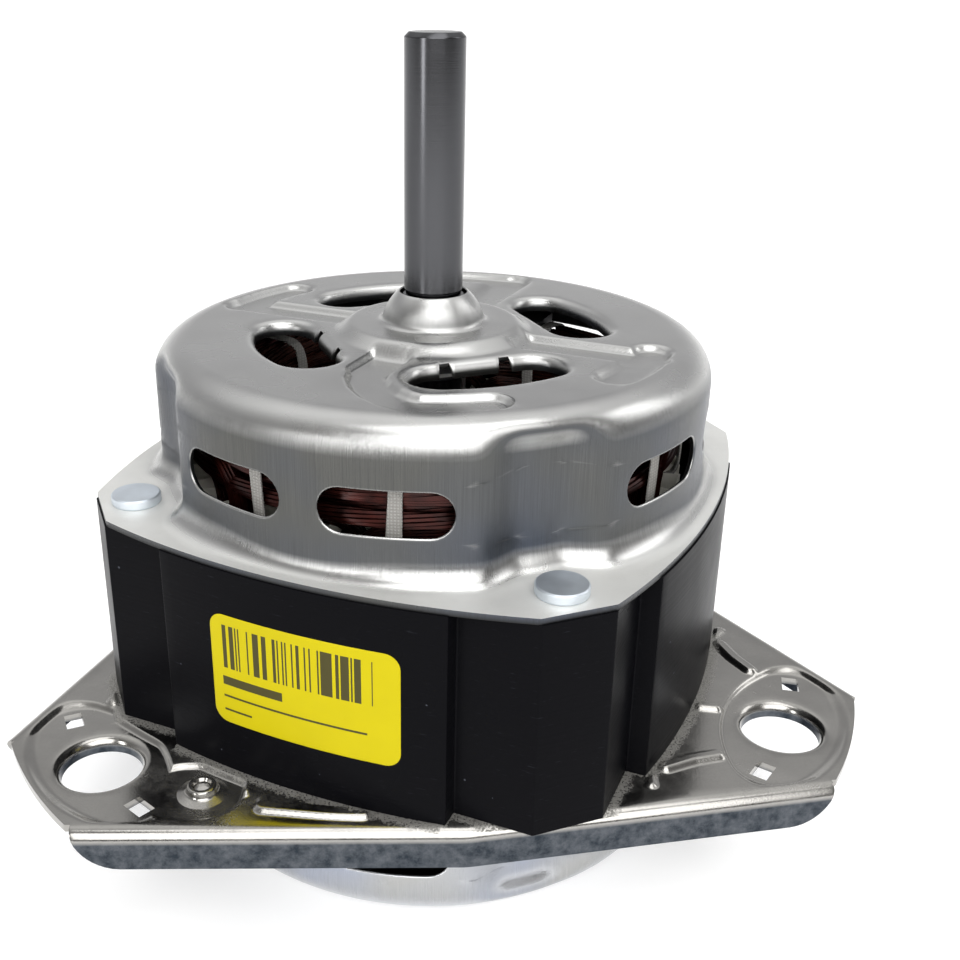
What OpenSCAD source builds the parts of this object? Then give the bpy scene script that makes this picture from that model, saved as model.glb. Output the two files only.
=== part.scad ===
// Washing machine motor: pressed steel covers, bare lamination stack, three-eared mounting plate.
// Frame: z = 0 is the underside of the mounting plate, the shaft runs along +Z,
// and one ear of the plate points along +Y, at the back.

/* [Stator stack] */
// Width across the middle of two opposite sides
stack_across = 123.4; // [122.4:0.2:125]
// Radius of the bowed sides
stack_side_r = 157; // [140:1:200]
// Axis to the flat that is cut on each corner
corner_reach = 70.7; // [70:0.1:72]
// Axis to the flat beside a corner, where the laminations step back
shoulder_reach = 55; // [54.4:0.1:55.6]
// Width of the bowed middle of a side
shoulder_w = 59; // [54:0.5:62]
// Height of the lamination stack
stack_h = 43.5; // [36:0.5:60]
// Diameter of the bore that the rotor turns in
bore_d = 70.4; // [69.6:0.2:71]
// Depth of the closed part of a slot
slot_depth = 16.6; // [16:0.1:17]
// Width of a tooth between two slots
tooth_w = 4.8; // [4.2:0.1:5.2]
// Width of a slot's mouth
slot_mouth = 2.4; // [1.6:0.1:3]
// Metal between the bore and the closed part of a slot
tooth_tip = 1.2; // [0.9:0.1:1.4]

/* [Windings] */
// Diameter of a bundle of wire
bundle_d = 3.2; // [2.4:0.1:3.3]
// Width of the thermal cutout
cutout_w = 9; // [6:0.5:10]
// Length of the thermal cutout
cutout_l = 18; // [12:0.5:20]
// Thickness of the thermal cutout
cutout_t = 4.5; // [3:0.1:5]
// Step from one bundle to the next across a slot
bundle_step = 3.7; // [3.6:0.05:3.8]
// Height of the lowest end turn over the stack
turn_rise = 6; // [5.4:0.1:7]
// Step in height from one end turn to the next
turn_step = 4.6; // [4.2:0.1:5]
// Thickness of the lacing tape
tape_t = 0.8; // [0.4:0.1:1]
// Width of the lacing tape
tape_w = 3; // [2:0.1:3.6]
// Thickness of the slot liners
liner_t = 0.3; // [0.15:0.05:0.4]
// How far a liner stands out of the stack
liner_out = 3; // [2:0.1:3.4]

/* [Rotor] */
// Gap between rotor and stator
air_gap = 0.35; // [0.3:0.05:0.6]
// Number of rotor bars
bar_count = 28; // [20:1:34]
// Diameter of a rotor bar
bar_d = 3.4; // [2.6:0.1:4]
// Inner diameter of the end rings
end_ring_inner_d = 48; // [40:1:52]
// Height of an end ring
end_ring_h = 6.5; // [4:0.5:8]
// Number of fan blades on an end ring
blade_count = 10; // [6:1:14]
// Height of a fan blade
blade_h = 4; // [2:0.5:5]
// Thickness of a fan blade
blade_t = 2; // [1.4:0.1:3]

/* [Shaft and bearings] */
// Diameter of the shaft's free end
shaft_d = 12; // [11:0.1:12.2]
// Step in radius from the free end to the journals
journal_step = 0.3; // [0.2:0.05:0.4]
// Shaft standing above the boss
shaft_out = 50; // [35:1:70]
// Chamfer on the shaft's tip
shaft_chamfer = 0.9; // [0.4:0.1:1.4]
// Radial clearance of the shaft in a bush
running_gap = 0.03; // [0.02:0.01:0.08]
// Radius of a bush's ball-shaped outside
bush_ball_r = 9.6; // [9.4:0.1:9.8]
// Length of a bush
bush_l = 13; // [12:0.5:13]
// Radial play of a bush in its dome
bush_play = 0.1; // [0.05:0.05:0.2]

/* [Covers] */
// Thickness of the cover sheet
cover_t = 1.2; // [0.8:0.1:1.4]
// Outer diameter of the top cover's wall
top_can_d = 115; // [114.4:0.2:117]
// Height of the top cover over the stack
top_h = 31; // [28:0.5:36]
// Outer diameter of the bottom cover's wall
bottom_can_d = 114.4; // [114:0.2:116]
// Depth of the bottom cover below the plate
bottom_h = 29.5; // [28.5:0.5:34]
// Radius of a cover's outer edge
edge_r = 7; // [5:0.5:8]
// Radius of the flare between a wall and its flange
flare_r = 5; // [3.5:0.5:5.5]
// Radius of the raised hub
hub_r = 18.5; // [17.5:0.1:19]
// Rise of the hub over the dome's centre
hub_rise = 2; // [1.6:0.1:3]
// Radius of the hole that the shaft comes out of
boss_hole_r = 6.9; // [6.7:0.1:7.2]
// Width of the hollow round the bottom hub
hollow_w = 3; // [1:0.5:3]
// Innermost reach of the dents beside the bolts
dent_reach = 54.5; // [54.4:0.1:55.5]
// Radius of the dents beside the bolts
dent_r = 16; // [12:0.5:20]

/* [Vents] */
// Axis to the straight edge of a top window
window_inner = 23.5; // [22.5:0.1:25]
// Axis to the outer edge of a top window
window_outer = 37; // [36:0.1:38.5]
// Radius of a window's round ends
window_end_r = 6; // [5:0.1:6.4]
// Axis to the straight edge of a bottom window
base_window_inner = 28; // [27:0.1:29]
// Axis to the outer edge of a bottom window
base_window_outer = 42; // [40:0.1:43]
// Depth of the lips that are bent in round the windows
lip_h = 3; // [2:0.1:4]
// Length of a wall slot along the wall
slot_len = 24.5; // [18:0.5:25]
// Height of a wall slot
slot_high = 8.6; // [6:0.1:10]
// Stack to the middle of a top wall slot
top_slot_z = 14.6; // [12:0.1:17]
// Plate to the middle of a bottom wall slot
bottom_slot_z = 14; // [11:0.1:16]
// Angle from a side's middle to a wall slot's middle
slot_angle = 16; // [15:0.5:18]

/* [Pressed channels] */
// Depth of the channels in the top
channel_depth = 1.3; // [0.8:0.1:1.6]
// Width of a channel between hub and rim
channel_w = 8.5; // [6:0.1:9]
// Inner radius of the arc at a channel's end
arc_inner = 43; // [41:0.1:44]
// Outer radius of the arc at a channel's end
arc_outer = 49; // [47:0.1:49.6]

/* [Mounting plate] */
// Thickness of the plate
plate_t = 1.5; // [1.2:0.1:1.8]
// Pitch circle diameter of the mounting holes
mount_pcd = 160; // [154:1:164]
// Diameter of a mounting hole
mount_hole_d = 15.8; // [12:0.2:17]
// Axis to the end of an ear
ear_reach = 94; // [92:0.5:97]
// Axis to the blunt corner in the middle of a side
side_reach = 68.1; // [68:0.1:70]
// Axis to where two sides would meet beyond an ear
ear_point = 119; // [112:1:126]
// Depth of the folded edge
fold_h = 8; // [6:0.5:12]
// Radius of the plate's middle hole
plate_hole_r = 56; // [54.5:0.1:57]
// Height of the drawn collar of a mounting hole, below the plate
collar_h = 1.6; // [1:0.1:2.4]
// Depth of the sunk pads and tray
sunk_depth = 1; // [0.6:0.1:1.2]
// Width of a sunk pad, from the shaft outwards
pad_w = 23.6; // [21:0.2:24]
// Length of a sunk pad, along the ear
pad_l = 43; // [38:0.5:44]
// Radius of the sunk tray about the tapped hole
tray_r = 8; // [6:0.1:9]
// Radius of the pressed ribs
rib_r = 1; // [0.6:0.1:1.2]
// Diameter of the tapped hole
earth_d = 3.3; // [2.5:0.1:4.2]
// Height of the boss of the tapped hole
earth_h = 2; // [1:0.1:3]

/* [Fasteners] */
// Radius of the circle of through-bolts
bolt_circle_r = 63.5; // [63.3:0.1:63.6]
// Diameter of a through-bolt
bolt_d = 4; // [3:0.1:4.2]
// Diameter of a bolt head
head_d = 9.8; // [8:0.1:10.2]
// Height of a bolt head
head_h = 2; // [1.5:0.1:3]
// Width of a nut across its flats
nut_flats = 7; // [6:0.1:7.2]
// Height of a nut
nut_h = 3.2; // [2.4:0.1:4]
// Clearance of a bolt in its holes
bolt_play = 0.25; // [0.1:0.05:0.4]

/* [Label] */
// Length of the label
label_w = 39; // [25:0.5:50]
// Height of the label
label_high = 23.5; // [15:0.5:30]
// Middle of the label over the plate's underside
label_z = 24.2; // [18:0.1:30]

/* [Hidden] */
$fn = 64;
cut = 1;                              // how far a cutter reaches past what it cuts

corner_angle = 15;                    // first corner of the stack, from +X
side_angle = -30;                     // first side of the stack, from +X
ear_angle = -30;                      // first ear of the plate, from +X
corners = [for (k = [0:3]) corner_angle + 90 * k];
sides = [for (k = [0:3]) side_angle + 90 * k];
ears = [for (k = [0:2]) ear_angle + 120 * k];

stack_z0 = plate_t;
stack_z1 = stack_z0 + stack_h;
bore_r = bore_d / 2;
rotor_r = bore_r - air_gap;
slot_count = 24;
slot_r0 = bore_r + tooth_tip;
slot_r1 = slot_r0 + slot_depth;
wedge_t = 0.8;
wedge_r0 = slot_r0 + liner_t + 0.1;

bundle_gap = bundle_step - bundle_d;
start_r = wedge_r0 + wedge_t + bundle_gap / 2 + bundle_d / 2;
main_r = start_r + 2 * bundle_step;
turn_top = turn_rise + 2 * turn_step + bundle_d / 2;
lacing_r0 = start_r - bundle_d / 2 - tape_t - 0.3;
lacing_r1 = main_r + bundle_step + bundle_d / 2 + tape_t + 0.3;
lacing_count = 12;

shaft_r = shaft_d / 2;
journal_r = shaft_r + journal_step;
dome_inner_r = bush_ball_r + bush_play;
dome_outer_r = dome_inner_r + cover_t;
top_dome_z = stack_z1 + top_h;
bottom_dome_z = -(bottom_h - dome_outer_r - 0.1);
boss_top_z = top_dome_z + sqrt(pow(dome_outer_r, 2) - pow(boss_hole_r, 2));
shaft_top_z = boss_top_z + shaft_out;
pad_top_z = bottom_dome_z - dome_inner_r + 1.5;
shaft_bottom_z = pad_top_z + 0.1;
bush_r = journal_r + running_gap;
ring_t = 1;
washer_t = 1;
end_play = 0.2;

grommet_r = 5;
grommet_angle = sides[1];

// Repeats its children at each angle about the shaft
module at_angles(angles) {
    for (a = angles) rotate(a) children();
}

// Moves its children out along +X
module out(distance, z = 0) {
    translate([distance, 0, z]) children();
}

// Flat washer
module ring(outer_r, inner_r, h, z = 0) {
    translate([0, 0, z]) difference() {
        cylinder(r = outer_r, h = h);
        translate([0, 0, -cut]) cylinder(r = inner_r, h = h + 2 * cut);
    }
}

// Part of a ring, between two angles
module arc_block(inner_r, outer_r, from, to, z0, z1) {
    rotate(from) rotate_extrude(angle = to - from) translate([inner_r, z0])
        square([outer_r - inner_r, z1 - z0]);
}

// Outline of the covers' flanges: four bowed sides and four cut corners
module flange_plan(inset = 0) {
    intersection() {
        bowed_side(sides[0], inset);
        bowed_side(sides[1], inset);
        bowed_side(sides[2], inset);
        bowed_side(sides[3], inset);
        rotate(corner_angle) square(2 * (corner_reach - inset), center = true);
    }
}

// Outline of the laminations, which step back to a flat beside each corner
module stack_plan() {
    intersection() {
        flange_plan();
        rotate(side_angle) {
            square(2 * shoulder_reach, center = true);
            square([2 * corner_reach, shoulder_w], center = true);
            square([shoulder_w, 2 * corner_reach], center = true);
        }
    }
}

// Disc whose edge is one bowed side of the stack
module bowed_side(angle, inset) {
    rotate(angle) translate([stack_across / 2 - stack_side_r, 0]) circle(r = stack_side_r - inset);
}

// Half the width of a slot at a radius, between parallel teeth
function slot_half(r) = PI * r / slot_count - tooth_w / 2;

// Closed part of a stator slot, drawn in by an inset
module slot_plan(inset = 0) {
    r0 = slot_r0 + inset;
    r1 = slot_r1 - inset;
    polygon([[r0, -slot_half(r0) + inset], [r1, -slot_half(r1) + inset],
             [r1, slot_half(r1) - inset], [r0, slot_half(r0) - inset]]);
}

// Angles of the slots' middles
slot_angles = [for (k = [0:slot_count - 1]) (k + 0.5) * 360 / slot_count];

// Window with a straight inner edge, round ends and an outer arc about the shaft
module window_plan(inner, outer, grow = 0) {
    end_x = inner + window_end_r;
    end_y = sqrt(pow(outer - window_end_r, 2) - pow(end_x, 2));
    reach = 1.5;
    intersection() {
        circle(r = outer + grow);
        polygon([[inner - grow, -end_y], [inner - grow, end_y], [end_x, end_y],
                 [end_x, end_y] * reach, [end_x, -end_y] * reach, [end_x, -end_y]]);
    }
    for (side = [-1, 1]) translate([end_x, side * end_y]) circle(r = window_end_r + grow);
}

// Drum with a round outer edge and a flared foot
module drum(r, h, edge, foot, foot_z) {
    rotate_extrude() {
        square([r - edge, h]);
        square([r, h - edge]);
        translate([r - edge, h - edge]) circle(r = edge);
        difference() {
            square([r + foot, foot_z]);
            translate([r + foot, foot_z]) circle(r = foot);
        }
    }
}

// Dents in the wall that leave room for the bolts' heads and nuts
module dents(h, grow = 0) {
    at_angles(corners) out(dent_reach + dent_r, -cut) cylinder(r = dent_r + grow, h = h + cut + grow);
}

// Wall slots, two on each side
module wall_slots(r, z, angles) {
    end_angle = (slot_len - slot_high) / 2 / r * 180 / PI;
    at_angles(angles) for (side = [-1, 1]) rotate(side * slot_angle) {
        arc_block(r - 8, r + 3, -end_angle, end_angle, z - slot_high / 2, z + slot_high / 2);
        for (end = [-1, 1]) rotate(end * end_angle) out(r - 8, z)
            rotate([0, 90, 0]) rotate(-90 * end) cylinder(d = slot_high, h = 11);
    }
}

// Wedge of the plane on both sides of +X
module sector_plan(half_angle, reach) {
    polygon([[0, 0], reach * [cos(half_angle), -sin(half_angle)], [1.2 * reach, 0],
             reach * [cos(half_angle), sin(half_angle)]]);
}

// Channels pressed into the top: an arm on each side and an arc at its end
channel_arcs = [[-53, -19], [54, 86], [124, 156], [235, 282]];
module channel_plan(grow) {
    grow_angle = grow / arc_outer * 180 / PI;
    for (a = sides) rotate(a) translate([hub_r - 2, -channel_w / 2 - grow])
        square([arc_inner - hub_r + 4, channel_w + 2 * grow]);
    for (a = channel_arcs) rotate((a[0] + a[1]) / 2) intersection() {
        difference() {
            circle(r = arc_outer + grow);
            circle(r = arc_inner - grow);
        }
        sector_plan((a[1] - a[0]) / 2 + grow_angle, 2 * arc_outer);
    }
}

module channels(h, grow = 0) {
    depth = channel_depth + grow;
    translate([0, 0, h - depth]) linear_extrude(depth + cut) channel_plan(grow);
}

// Lips bent in round the windows, with the two relief notches of the straight edge
module window_lips(inner, outer, z_face) {
    notch = 2.2;
    at_angles(corners) difference() {
        translate([0, 0, z_face - lip_h]) linear_extrude(lip_h - 0.2) difference() {
            window_plan(inner, outer, cover_t);
            window_plan(inner, outer);
        }
        for (side = [-1, 1]) translate([inner, side * window_end_r, z_face - lip_h / 2 - cover_t])
            cube([3 * notch, notch, lip_h], center = true);
    }
}

module window_holes(inner, outer, z_face) {
    at_angles(corners) translate([0, 0, z_face - lip_h - cut]) linear_extrude(lip_h + 2 * cut)
        window_plan(inner, outer);
}

module top_cover() {
    r = top_can_d / 2;
    wall_top = top_h - edge_r - 0.6;
    color("silver") translate([0, 0, stack_z1]) {
        difference() {
            union() {
                difference() {
                    drum(r, top_h, edge_r, flare_r, cover_t + flare_r);
                    dents(wall_top);
                    channels(top_h);
                }
                cylinder(r1 = hub_r + 1, r2 = hub_r, h = top_h + hub_rise);
                translate([0, 0, top_h]) sphere(r = dome_outer_r);
                linear_extrude(cover_t) flange_plan(0.3);
            }
            difference() {
                translate([0, 0, -cut]) union() {
                    translate([0, 0, cut]) drum(r - cover_t, top_h - cover_t, edge_r - cover_t,
                                                flare_r + cover_t, cover_t + flare_r);
                    cylinder(r = r - cover_t, h = 2 * cut);
                }
                dents(wall_top, cover_t);
                channels(top_h, cover_t);
            }
            cylinder(r = hub_r - cover_t, h = top_h + hub_rise - cover_t);
            translate([0, 0, top_h]) sphere(r = dome_inner_r);
            cylinder(r = boss_hole_r, h = top_h + 2 * dome_outer_r);
            window_holes(window_inner, window_outer, top_h);
            wall_slots(r, top_slot_z, sides);
            at_angles(corners) out(bolt_circle_r, -cut)
                cylinder(d = bolt_d + 2 * bolt_play, h = cover_t + 2 * cut);
        }
        window_lips(window_inner, window_outer, top_h);
    }
}

module bottom_cover() {
    r = bottom_can_d / 2;
    wall_top = bottom_h - edge_r - 0.6;
    hub_floor = -bottom_dome_z + hub_rise;
    color("gainsboro") mirror([0, 0, 1]) {
        difference() {
            union() {
                difference() {
                    drum(r, bottom_h, edge_r, flare_r, cover_t + flare_r);
                    dents(wall_top);
                    translate([0, 0, hub_floor]) cylinder(r1 = hub_r, r2 = hub_r + hollow_w,
                                                          h = bottom_h - hub_floor + 0.01);
                }
                translate([0, 0, -bottom_dome_z]) rotate([90, 0, 0]) sphere(r = dome_outer_r);
                linear_extrude(cover_t) intersection() {
                    flange_plan(0.3);
                    plate_plan(plate_t + 0.3);
                }
            }
            difference() {
                translate([0, 0, -cut]) union() {
                    translate([0, 0, cut]) drum(r - cover_t, bottom_h - cover_t, edge_r - cover_t,
                                                flare_r + cover_t, cover_t + flare_r);
                    cylinder(r = r - cover_t, h = 2 * cut);
                }
                dents(wall_top, cover_t);
                translate([0, 0, hub_floor - cover_t])
                    cylinder(r1 = hub_r + cover_t, r2 = hub_r + hollow_w + cover_t,
                             h = bottom_h - hub_floor + cover_t + 0.01);
            }
            translate([0, 0, -bottom_dome_z]) rotate([90, 0, 0]) sphere(r = dome_inner_r);
            window_holes(base_window_inner, base_window_outer, bottom_h);
            wall_slots(r, bottom_slot_z, [sides[0], sides[2], sides[3]]);
            rotate(grommet_angle) out(r - 8, bottom_slot_z) rotate([0, 90, 0])
                cylinder(r = grommet_r, h = 12);
            at_angles(corners) out(bolt_circle_r, -cut)
                cylinder(d = bolt_d + 2 * bolt_play, h = cover_t + 2 * cut);
        }
        window_lips(base_window_inner, base_window_outer, bottom_h);
    }
}

// Distance from the shaft to a side of the plate
plate_side = ear_point * side_reach * sin(60)
    / sqrt(pow(ear_point, 2) + pow(side_reach, 2) - ear_point * side_reach);

// Outline of the mounting plate: three ears with round ends and blunt sides between them
module plate_plan(inset = 0) {
    shrink = (plate_side - inset) / plate_side;
    intersection() {
        circle(r = ear_reach - inset);
        polygon([for (a = ears) each [shrink * ear_point * [cos(a), sin(a)],
                                      shrink * side_reach * [cos(a + 60), sin(a + 60)]]]);
    }
}

// Oval of four arcs: half width a along X, half length b along Y, and round ends
module oval_plan(a, b, end_r) {
    end_y = b - end_r;
    side_r = (pow(end_y, 2) + pow(a, 2) - pow(end_r, 2)) / (2 * (a - end_r));
    reach = 1.5 * end_r;
    lean = unit([side_r - a, end_y]) * reach;
    for (side = [-1, 1]) translate([0, side * end_y]) circle(r = end_r);
    intersection() {
        translate([side_r - a, 0]) circle(r = side_r);
        translate([a - side_r, 0]) circle(r = side_r);
        polygon([[0, end_y], [lean[0], end_y + lean[1]], [a + cut, end_y / 2], [a + cut, -end_y / 2],
                 [lean[0], -end_y - lean[1]], [0, -end_y], [-lean[0], -end_y - lean[1]],
                 [-a - cut, -end_y / 2], [-a - cut, end_y / 2], [-lean[0], end_y + lean[1]]]);
    }
}

earth_place = [-48.7, -51.1];
earth_boss_r = earth_d / 2 + 1.5;
sunk_gap = 1.8;                       // from the stack to a sunk floor

// Floors of the sunk pads and tray, which stop short of the stack
module sunk_plan(grow = 0) {
    pad_end_r = pad_l / 5.4;
    difference() {
        union() {
            at_angles(ears) out(mount_pcd / 2)
                oval_plan(pad_w / 2 + grow, pad_l / 2 + grow, pad_end_r + grow);
            translate(earth_place) circle(r = tray_r + grow);
        }
        flange_plan(grow - sunk_gap);
    }
}

// Straight rib pressed up between two points of the plate
module straight_rib(from, to) {
    run = to - from;
    translate([from[0], from[1], plate_t]) rotate(atan2(run[1], run[0])) {
        rotate([0, 90, 0]) cylinder(r = rib_r, h = norm(run));
        for (end = [0, 1]) out(end * norm(run)) rotate(180 * end) rotate([0, 45, 0]) sphere(r = rib_r);
    }
}

// Ribs between the stack and the pads, and the long one beside the tray
module ribs() {
    at_angles(ears) out(mount_pcd / 2) {
        pad_edge = -pad_w / 2;
        for (side = [-1, 1])
            straight_rib([pad_edge - 6.4, side * (pad_l / 2 + 3.8)],
                         [pad_edge + 2.3, side * (pad_l / 2 - 4.5)]);
        straight_rib([pad_edge - 4.6, -1.8], [pad_edge - 2, -1]);
    }
    straight_rib([-37, 10 - plate_side], [-19, 5.9 - plate_side]);
}

// Mounting hole of one ear and the two small square holes beside it
module ear_holes() {
    key = [3.5, 5];
    key_r = mount_pcd / 2 + 1;
    key_angle = 12;
    out(mount_pcd / 2, -sunk_depth - collar_h - cut)
        cylinder(d = mount_hole_d, h = collar_h + sunk_depth + plate_t + 2 * cut);
    for (side = [-1, 1]) rotate(side * key_angle) out(key_r)
        cube([key[0], key[1], 4 * plate_t], center = true);
}

module mounting_plate() {
    fold_half = 60 - 13.5;
    sheet_grow = 1.2;
    collar_t = 1.2;
    floor_z = plate_t - sunk_depth;
    color("lightsteelblue") difference() {
        union() {
            linear_extrude(plate_t) plate_plan();
            translate([0, 0, plate_t - fold_h]) linear_extrude(fold_h) difference() {
                plate_plan();
                plate_plan(plate_t);
                at_angles(ears) difference() {
                    sector_plan(60 - fold_half, 2 * ear_reach);
                    circle(r = plate_side);
                }
            }
            translate([0, 0, -sunk_depth]) linear_extrude(plate_t) sunk_plan(sheet_grow);
            at_angles(ears) out(mount_pcd / 2, -sunk_depth - collar_h)
                cylinder(r = mount_hole_d / 2 + collar_t, h = collar_h + plate_t);
            translate([earth_place[0], earth_place[1], -sunk_depth])
                cylinder(r = earth_boss_r, h = plate_t + earth_h);
            difference() {
                ribs();
                linear_extrude(plate_t + 2 * rib_r) flange_plan(-rib_r);
            }
        }
        translate([0, 0, -cut]) cylinder(r = plate_hole_r, h = plate_t + 2 * cut);
        translate([0, 0, floor_z]) linear_extrude(plate_t) difference() {
            sunk_plan();
            translate(earth_place) circle(r = earth_boss_r);
        }
        at_angles(ears) ear_holes();
        at_angles(corners) out(bolt_circle_r, -cut)
            cylinder(d = bolt_d + 2 * bolt_play, h = plate_t + 2 * cut);
        translate([earth_place[0], earth_place[1], -sunk_depth - cut])
            cylinder(d = earth_d, h = plate_t + earth_h + 2 * cut);
    }
}

module stator_core() {
    color([0.08, 0.08, 0.09]) translate([0, 0, stack_z0]) linear_extrude(stack_h) difference() {
        stack_plan();
        circle(r = bore_r);
        for (a = slot_angles) rotate(a) {
            slot_plan();
            translate([bore_r - cut, -slot_mouth / 2]) square([tooth_tip + 2 * cut, slot_mouth]);
        }
        for (a = corners) rotate(a) translate([bolt_circle_r, 0]) circle(d = bolt_d + 2 * bolt_play);
    }
}

module slot_liners() {
    color("ivory") translate([0, 0, stack_z0 - liner_out]) linear_extrude(stack_h + 2 * liner_out)
        for (a = slot_angles) rotate(a) difference() {
            slot_plan(0.05);
            slot_plan(0.05 + liner_t);
            translate([slot_r0 - cut, -slot_mouth / 2]) square([liner_t + 2 * cut, slot_mouth]);
        }
}

module slot_wedges() {
    half = slot_half(wedge_r0) - liner_t - 0.1;
    color("wheat") at_angles(slot_angles) out(wedge_r0, stack_z0 - liner_out)
        translate([0, -half, 0]) cube([wedge_t, 2 * half, stack_h + 2 * liner_out]);
}

// One turn of a coil on the unrolled cylinder: [along the arc, height], 24 points
function turn_points(half_angle, r, rise) =
    let (half = half_angle * PI / 180 * r,
         bend = min(9, rise + 0.5),
         high = stack_z1 + rise,
         low = stack_z0 - rise,
         mid = (half - bend) / 3,
         quarter = [for (i = [0:4]) 22.5 * i])
    concat([[-mid, low]],
           [for (q = quarter) [bend - half + bend * cos(270 - q), low + bend + bend * sin(270 - q)]],
           [for (q = quarter) [bend - half + bend * cos(180 - q), high - bend + bend * sin(180 - q)]],
           [[-mid, high], [mid, high]],
           [for (q = quarter) [half - bend + bend * cos(90 - q), high - bend + bend * sin(90 - q)]],
           [for (q = quarter) [half - bend + bend * cos(-q), low + bend + bend * sin(-q)]],
           [[mid, low]]);

// Path of one coil: three turns, the short-pitched one first, wound on without a break
function coil_path(centre, radii) =
    [for (n = [0:2]) let (r = radii[n], half_angle = n == 0 ? 22.5 : 37.5)
        for (p = turn_points(half_angle, r, turn_rise + n * turn_step))
            let (a = centre + p[0] / r * 180 / PI) [r * cos(a), r * sin(a), p[1]]];

// Least distance between stretches of a path that aren't neighbours
function least_gap(path, d) =
    min([for (i = [0:len(path) - 1]) for (j = [i + 5:1:len(path) - 1]) norm(path[i] - path[j]) - d]);

function unit(v) = v / norm(v);

// Unbroken tube of six sides along a path that winds about the shaft
module tube(path, r) {
    n = len(path);
    m = 6;
    rings = [for (i = [0:n - 1])
        let (run = unit(path[min(i + 1, n - 1)] - path[max(i - 1, 0)]),
             outward = unit([path[i][0], path[i][1], 0]),
             side = unit(cross(run, outward)),
             up = cross(side, run))
        for (k = [0:m - 1]) path[i] + r * (cos(60 * k) * up + sin(60 * k) * side)];
    walls = [for (i = [0:n - 2]) for (k = [0:m - 1])
        let (a = i * m + k, b = i * m + (k + 1) % m) each [[a, a + m, b], [b, a + m, b + m]]];
    ends = [for (k = [1:m - 2]) each [[0, k, k + 1], [(n - 1) * m, (n - 1) * m + k + 1, (n - 1) * m + k]]];
    polyhedron(points = rings, faces = concat(walls, ends), convexity = 6);
}

main_radii = [main_r, main_r, main_r + bundle_step];
start_radii = [start_r + bundle_step, start_r + bundle_step, start_r];
echo(main_coil_gap = least_gap(coil_path(0, main_radii), bundle_d));
echo(start_coil_gap = least_gap(coil_path(0, start_radii), bundle_d));

module main_winding() {
    color([0.45, 0.08, 0.04]) for (k = [0:3]) tube(coil_path(90 * k, main_radii), bundle_d / 2);
}

module start_winding() {
    color([0.6, 0.2, 0.08]) for (k = [0:3]) tube(coil_path(45 + 90 * k, start_radii), bundle_d / 2);
}

// Bands of tape tied round the end turns, between two heights
module lacing(z0, z1) {
    at_angles([for (k = [0:lacing_count - 1]) 360 / lacing_count * k])
        translate([0, tape_w / 2, 0]) rotate([90, 0, 0]) linear_extrude(tape_w) difference() {
            translate([lacing_r0, z0]) square([lacing_r1 - lacing_r0, z1 - z0]);
            translate([lacing_r0 + tape_t, z0 + tape_t])
                square([lacing_r1 - lacing_r0 - 2 * tape_t, z1 - z0 - 2 * tape_t]);
        }
}

lacing_h = turn_top + 0.3 + tape_t;

module top_lacing() {
    color("white") lacing(stack_z1 + 0.2, stack_z1 + lacing_h);
}

module bottom_lacing() {
    color("white") lacing(stack_z0 - lacing_h, stack_z0 - 0.2);
}

module thermal_cutout() {
    color("dimgray") rotate(grommet_angle) out(main_r, stack_z1 + lacing_h + 0.2)
        translate([-cutout_w / 2, -cutout_l / 2, 0]) cube([cutout_w, cutout_l, cutout_t]);
}

bar_ring_r = rotor_r - bar_d / 2 - 0.9;

module rotor_core() {
    color("dimgray") translate([0, 0, stack_z0]) linear_extrude(stack_h) difference() {
        circle(r = rotor_r);
        circle(r = journal_r);
        for (k = [0:bar_count - 1]) rotate(360 / bar_count * k) translate([bar_ring_r, 0]) circle(d = bar_d);
    }
}

module rotor_cage() {
    ring_r = rotor_r - 0.6;
    color("gainsboro") {
        at_angles([for (k = [0:bar_count - 1]) 360 / bar_count * k])
            out(bar_ring_r, stack_z0) cylinder(d = bar_d, h = stack_h);
        for (end = [0, 1]) translate([0, 0, end ? stack_z1 : stack_z0]) mirror([0, 0, 1 - end]) {
            ring(ring_r, end_ring_inner_d / 2, end_ring_h);
            at_angles([for (k = [0:blade_count - 1]) 360 / blade_count * k])
                translate([end_ring_inner_d / 2 + 0.5, -blade_t / 2, 0])
                    cube([ring_r - end_ring_inner_d / 2 - 1.5, blade_t, end_ring_h + blade_h]);
        }
    }
}

// Levels of the parts that hang on the two bushes
top_bush_z = top_dome_z - bush_l / 2;
top_washer_z = top_bush_z - end_play - washer_t;
bottom_bush_z = bottom_dome_z + bush_l / 2;
bottom_washer_z = bottom_bush_z + end_play;
ring_depth = 0.6;
foot_chamfer = 1.4;
neck_depth = 0.3;                     // groove between the journal and the free end
neck_below = 0.8;                     // from the boss's rim down to the journal's end
neck_above = 0.4;                     // from the boss's rim up to the free end

module shaft() {
    free_z = boss_top_z + neck_above;
    journal_top_z = boss_top_z - neck_below;
    journal_z = shaft_bottom_z + foot_chamfer;
    neck_r = shaft_r - neck_depth;
    tip_z = shaft_top_z - shaft_chamfer;
    color("lightgray") difference() {
        union() {
            translate([0, 0, shaft_bottom_z])
                cylinder(r1 = journal_r - foot_chamfer, r2 = journal_r, h = foot_chamfer);
            translate([0, 0, journal_z]) cylinder(r = journal_r, h = journal_top_z - journal_z);
            translate([0, 0, journal_top_z - cut]) cylinder(r = neck_r, h = free_z - neck_depth - journal_top_z + cut);
            translate([0, 0, free_z - neck_depth]) cylinder(r1 = neck_r, r2 = shaft_r, h = neck_depth);
            translate([0, 0, free_z]) cylinder(r = shaft_r, h = tip_z - free_z);
            translate([0, 0, tip_z]) cylinder(r1 = shaft_r, r2 = shaft_r - shaft_chamfer, h = shaft_chamfer);
        }
        ring(journal_r + cut, journal_r - ring_depth, ring_t, top_washer_z - ring_t);
        ring(journal_r + cut, journal_r - ring_depth, ring_t, bottom_washer_z + washer_t);
    }
}

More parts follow.
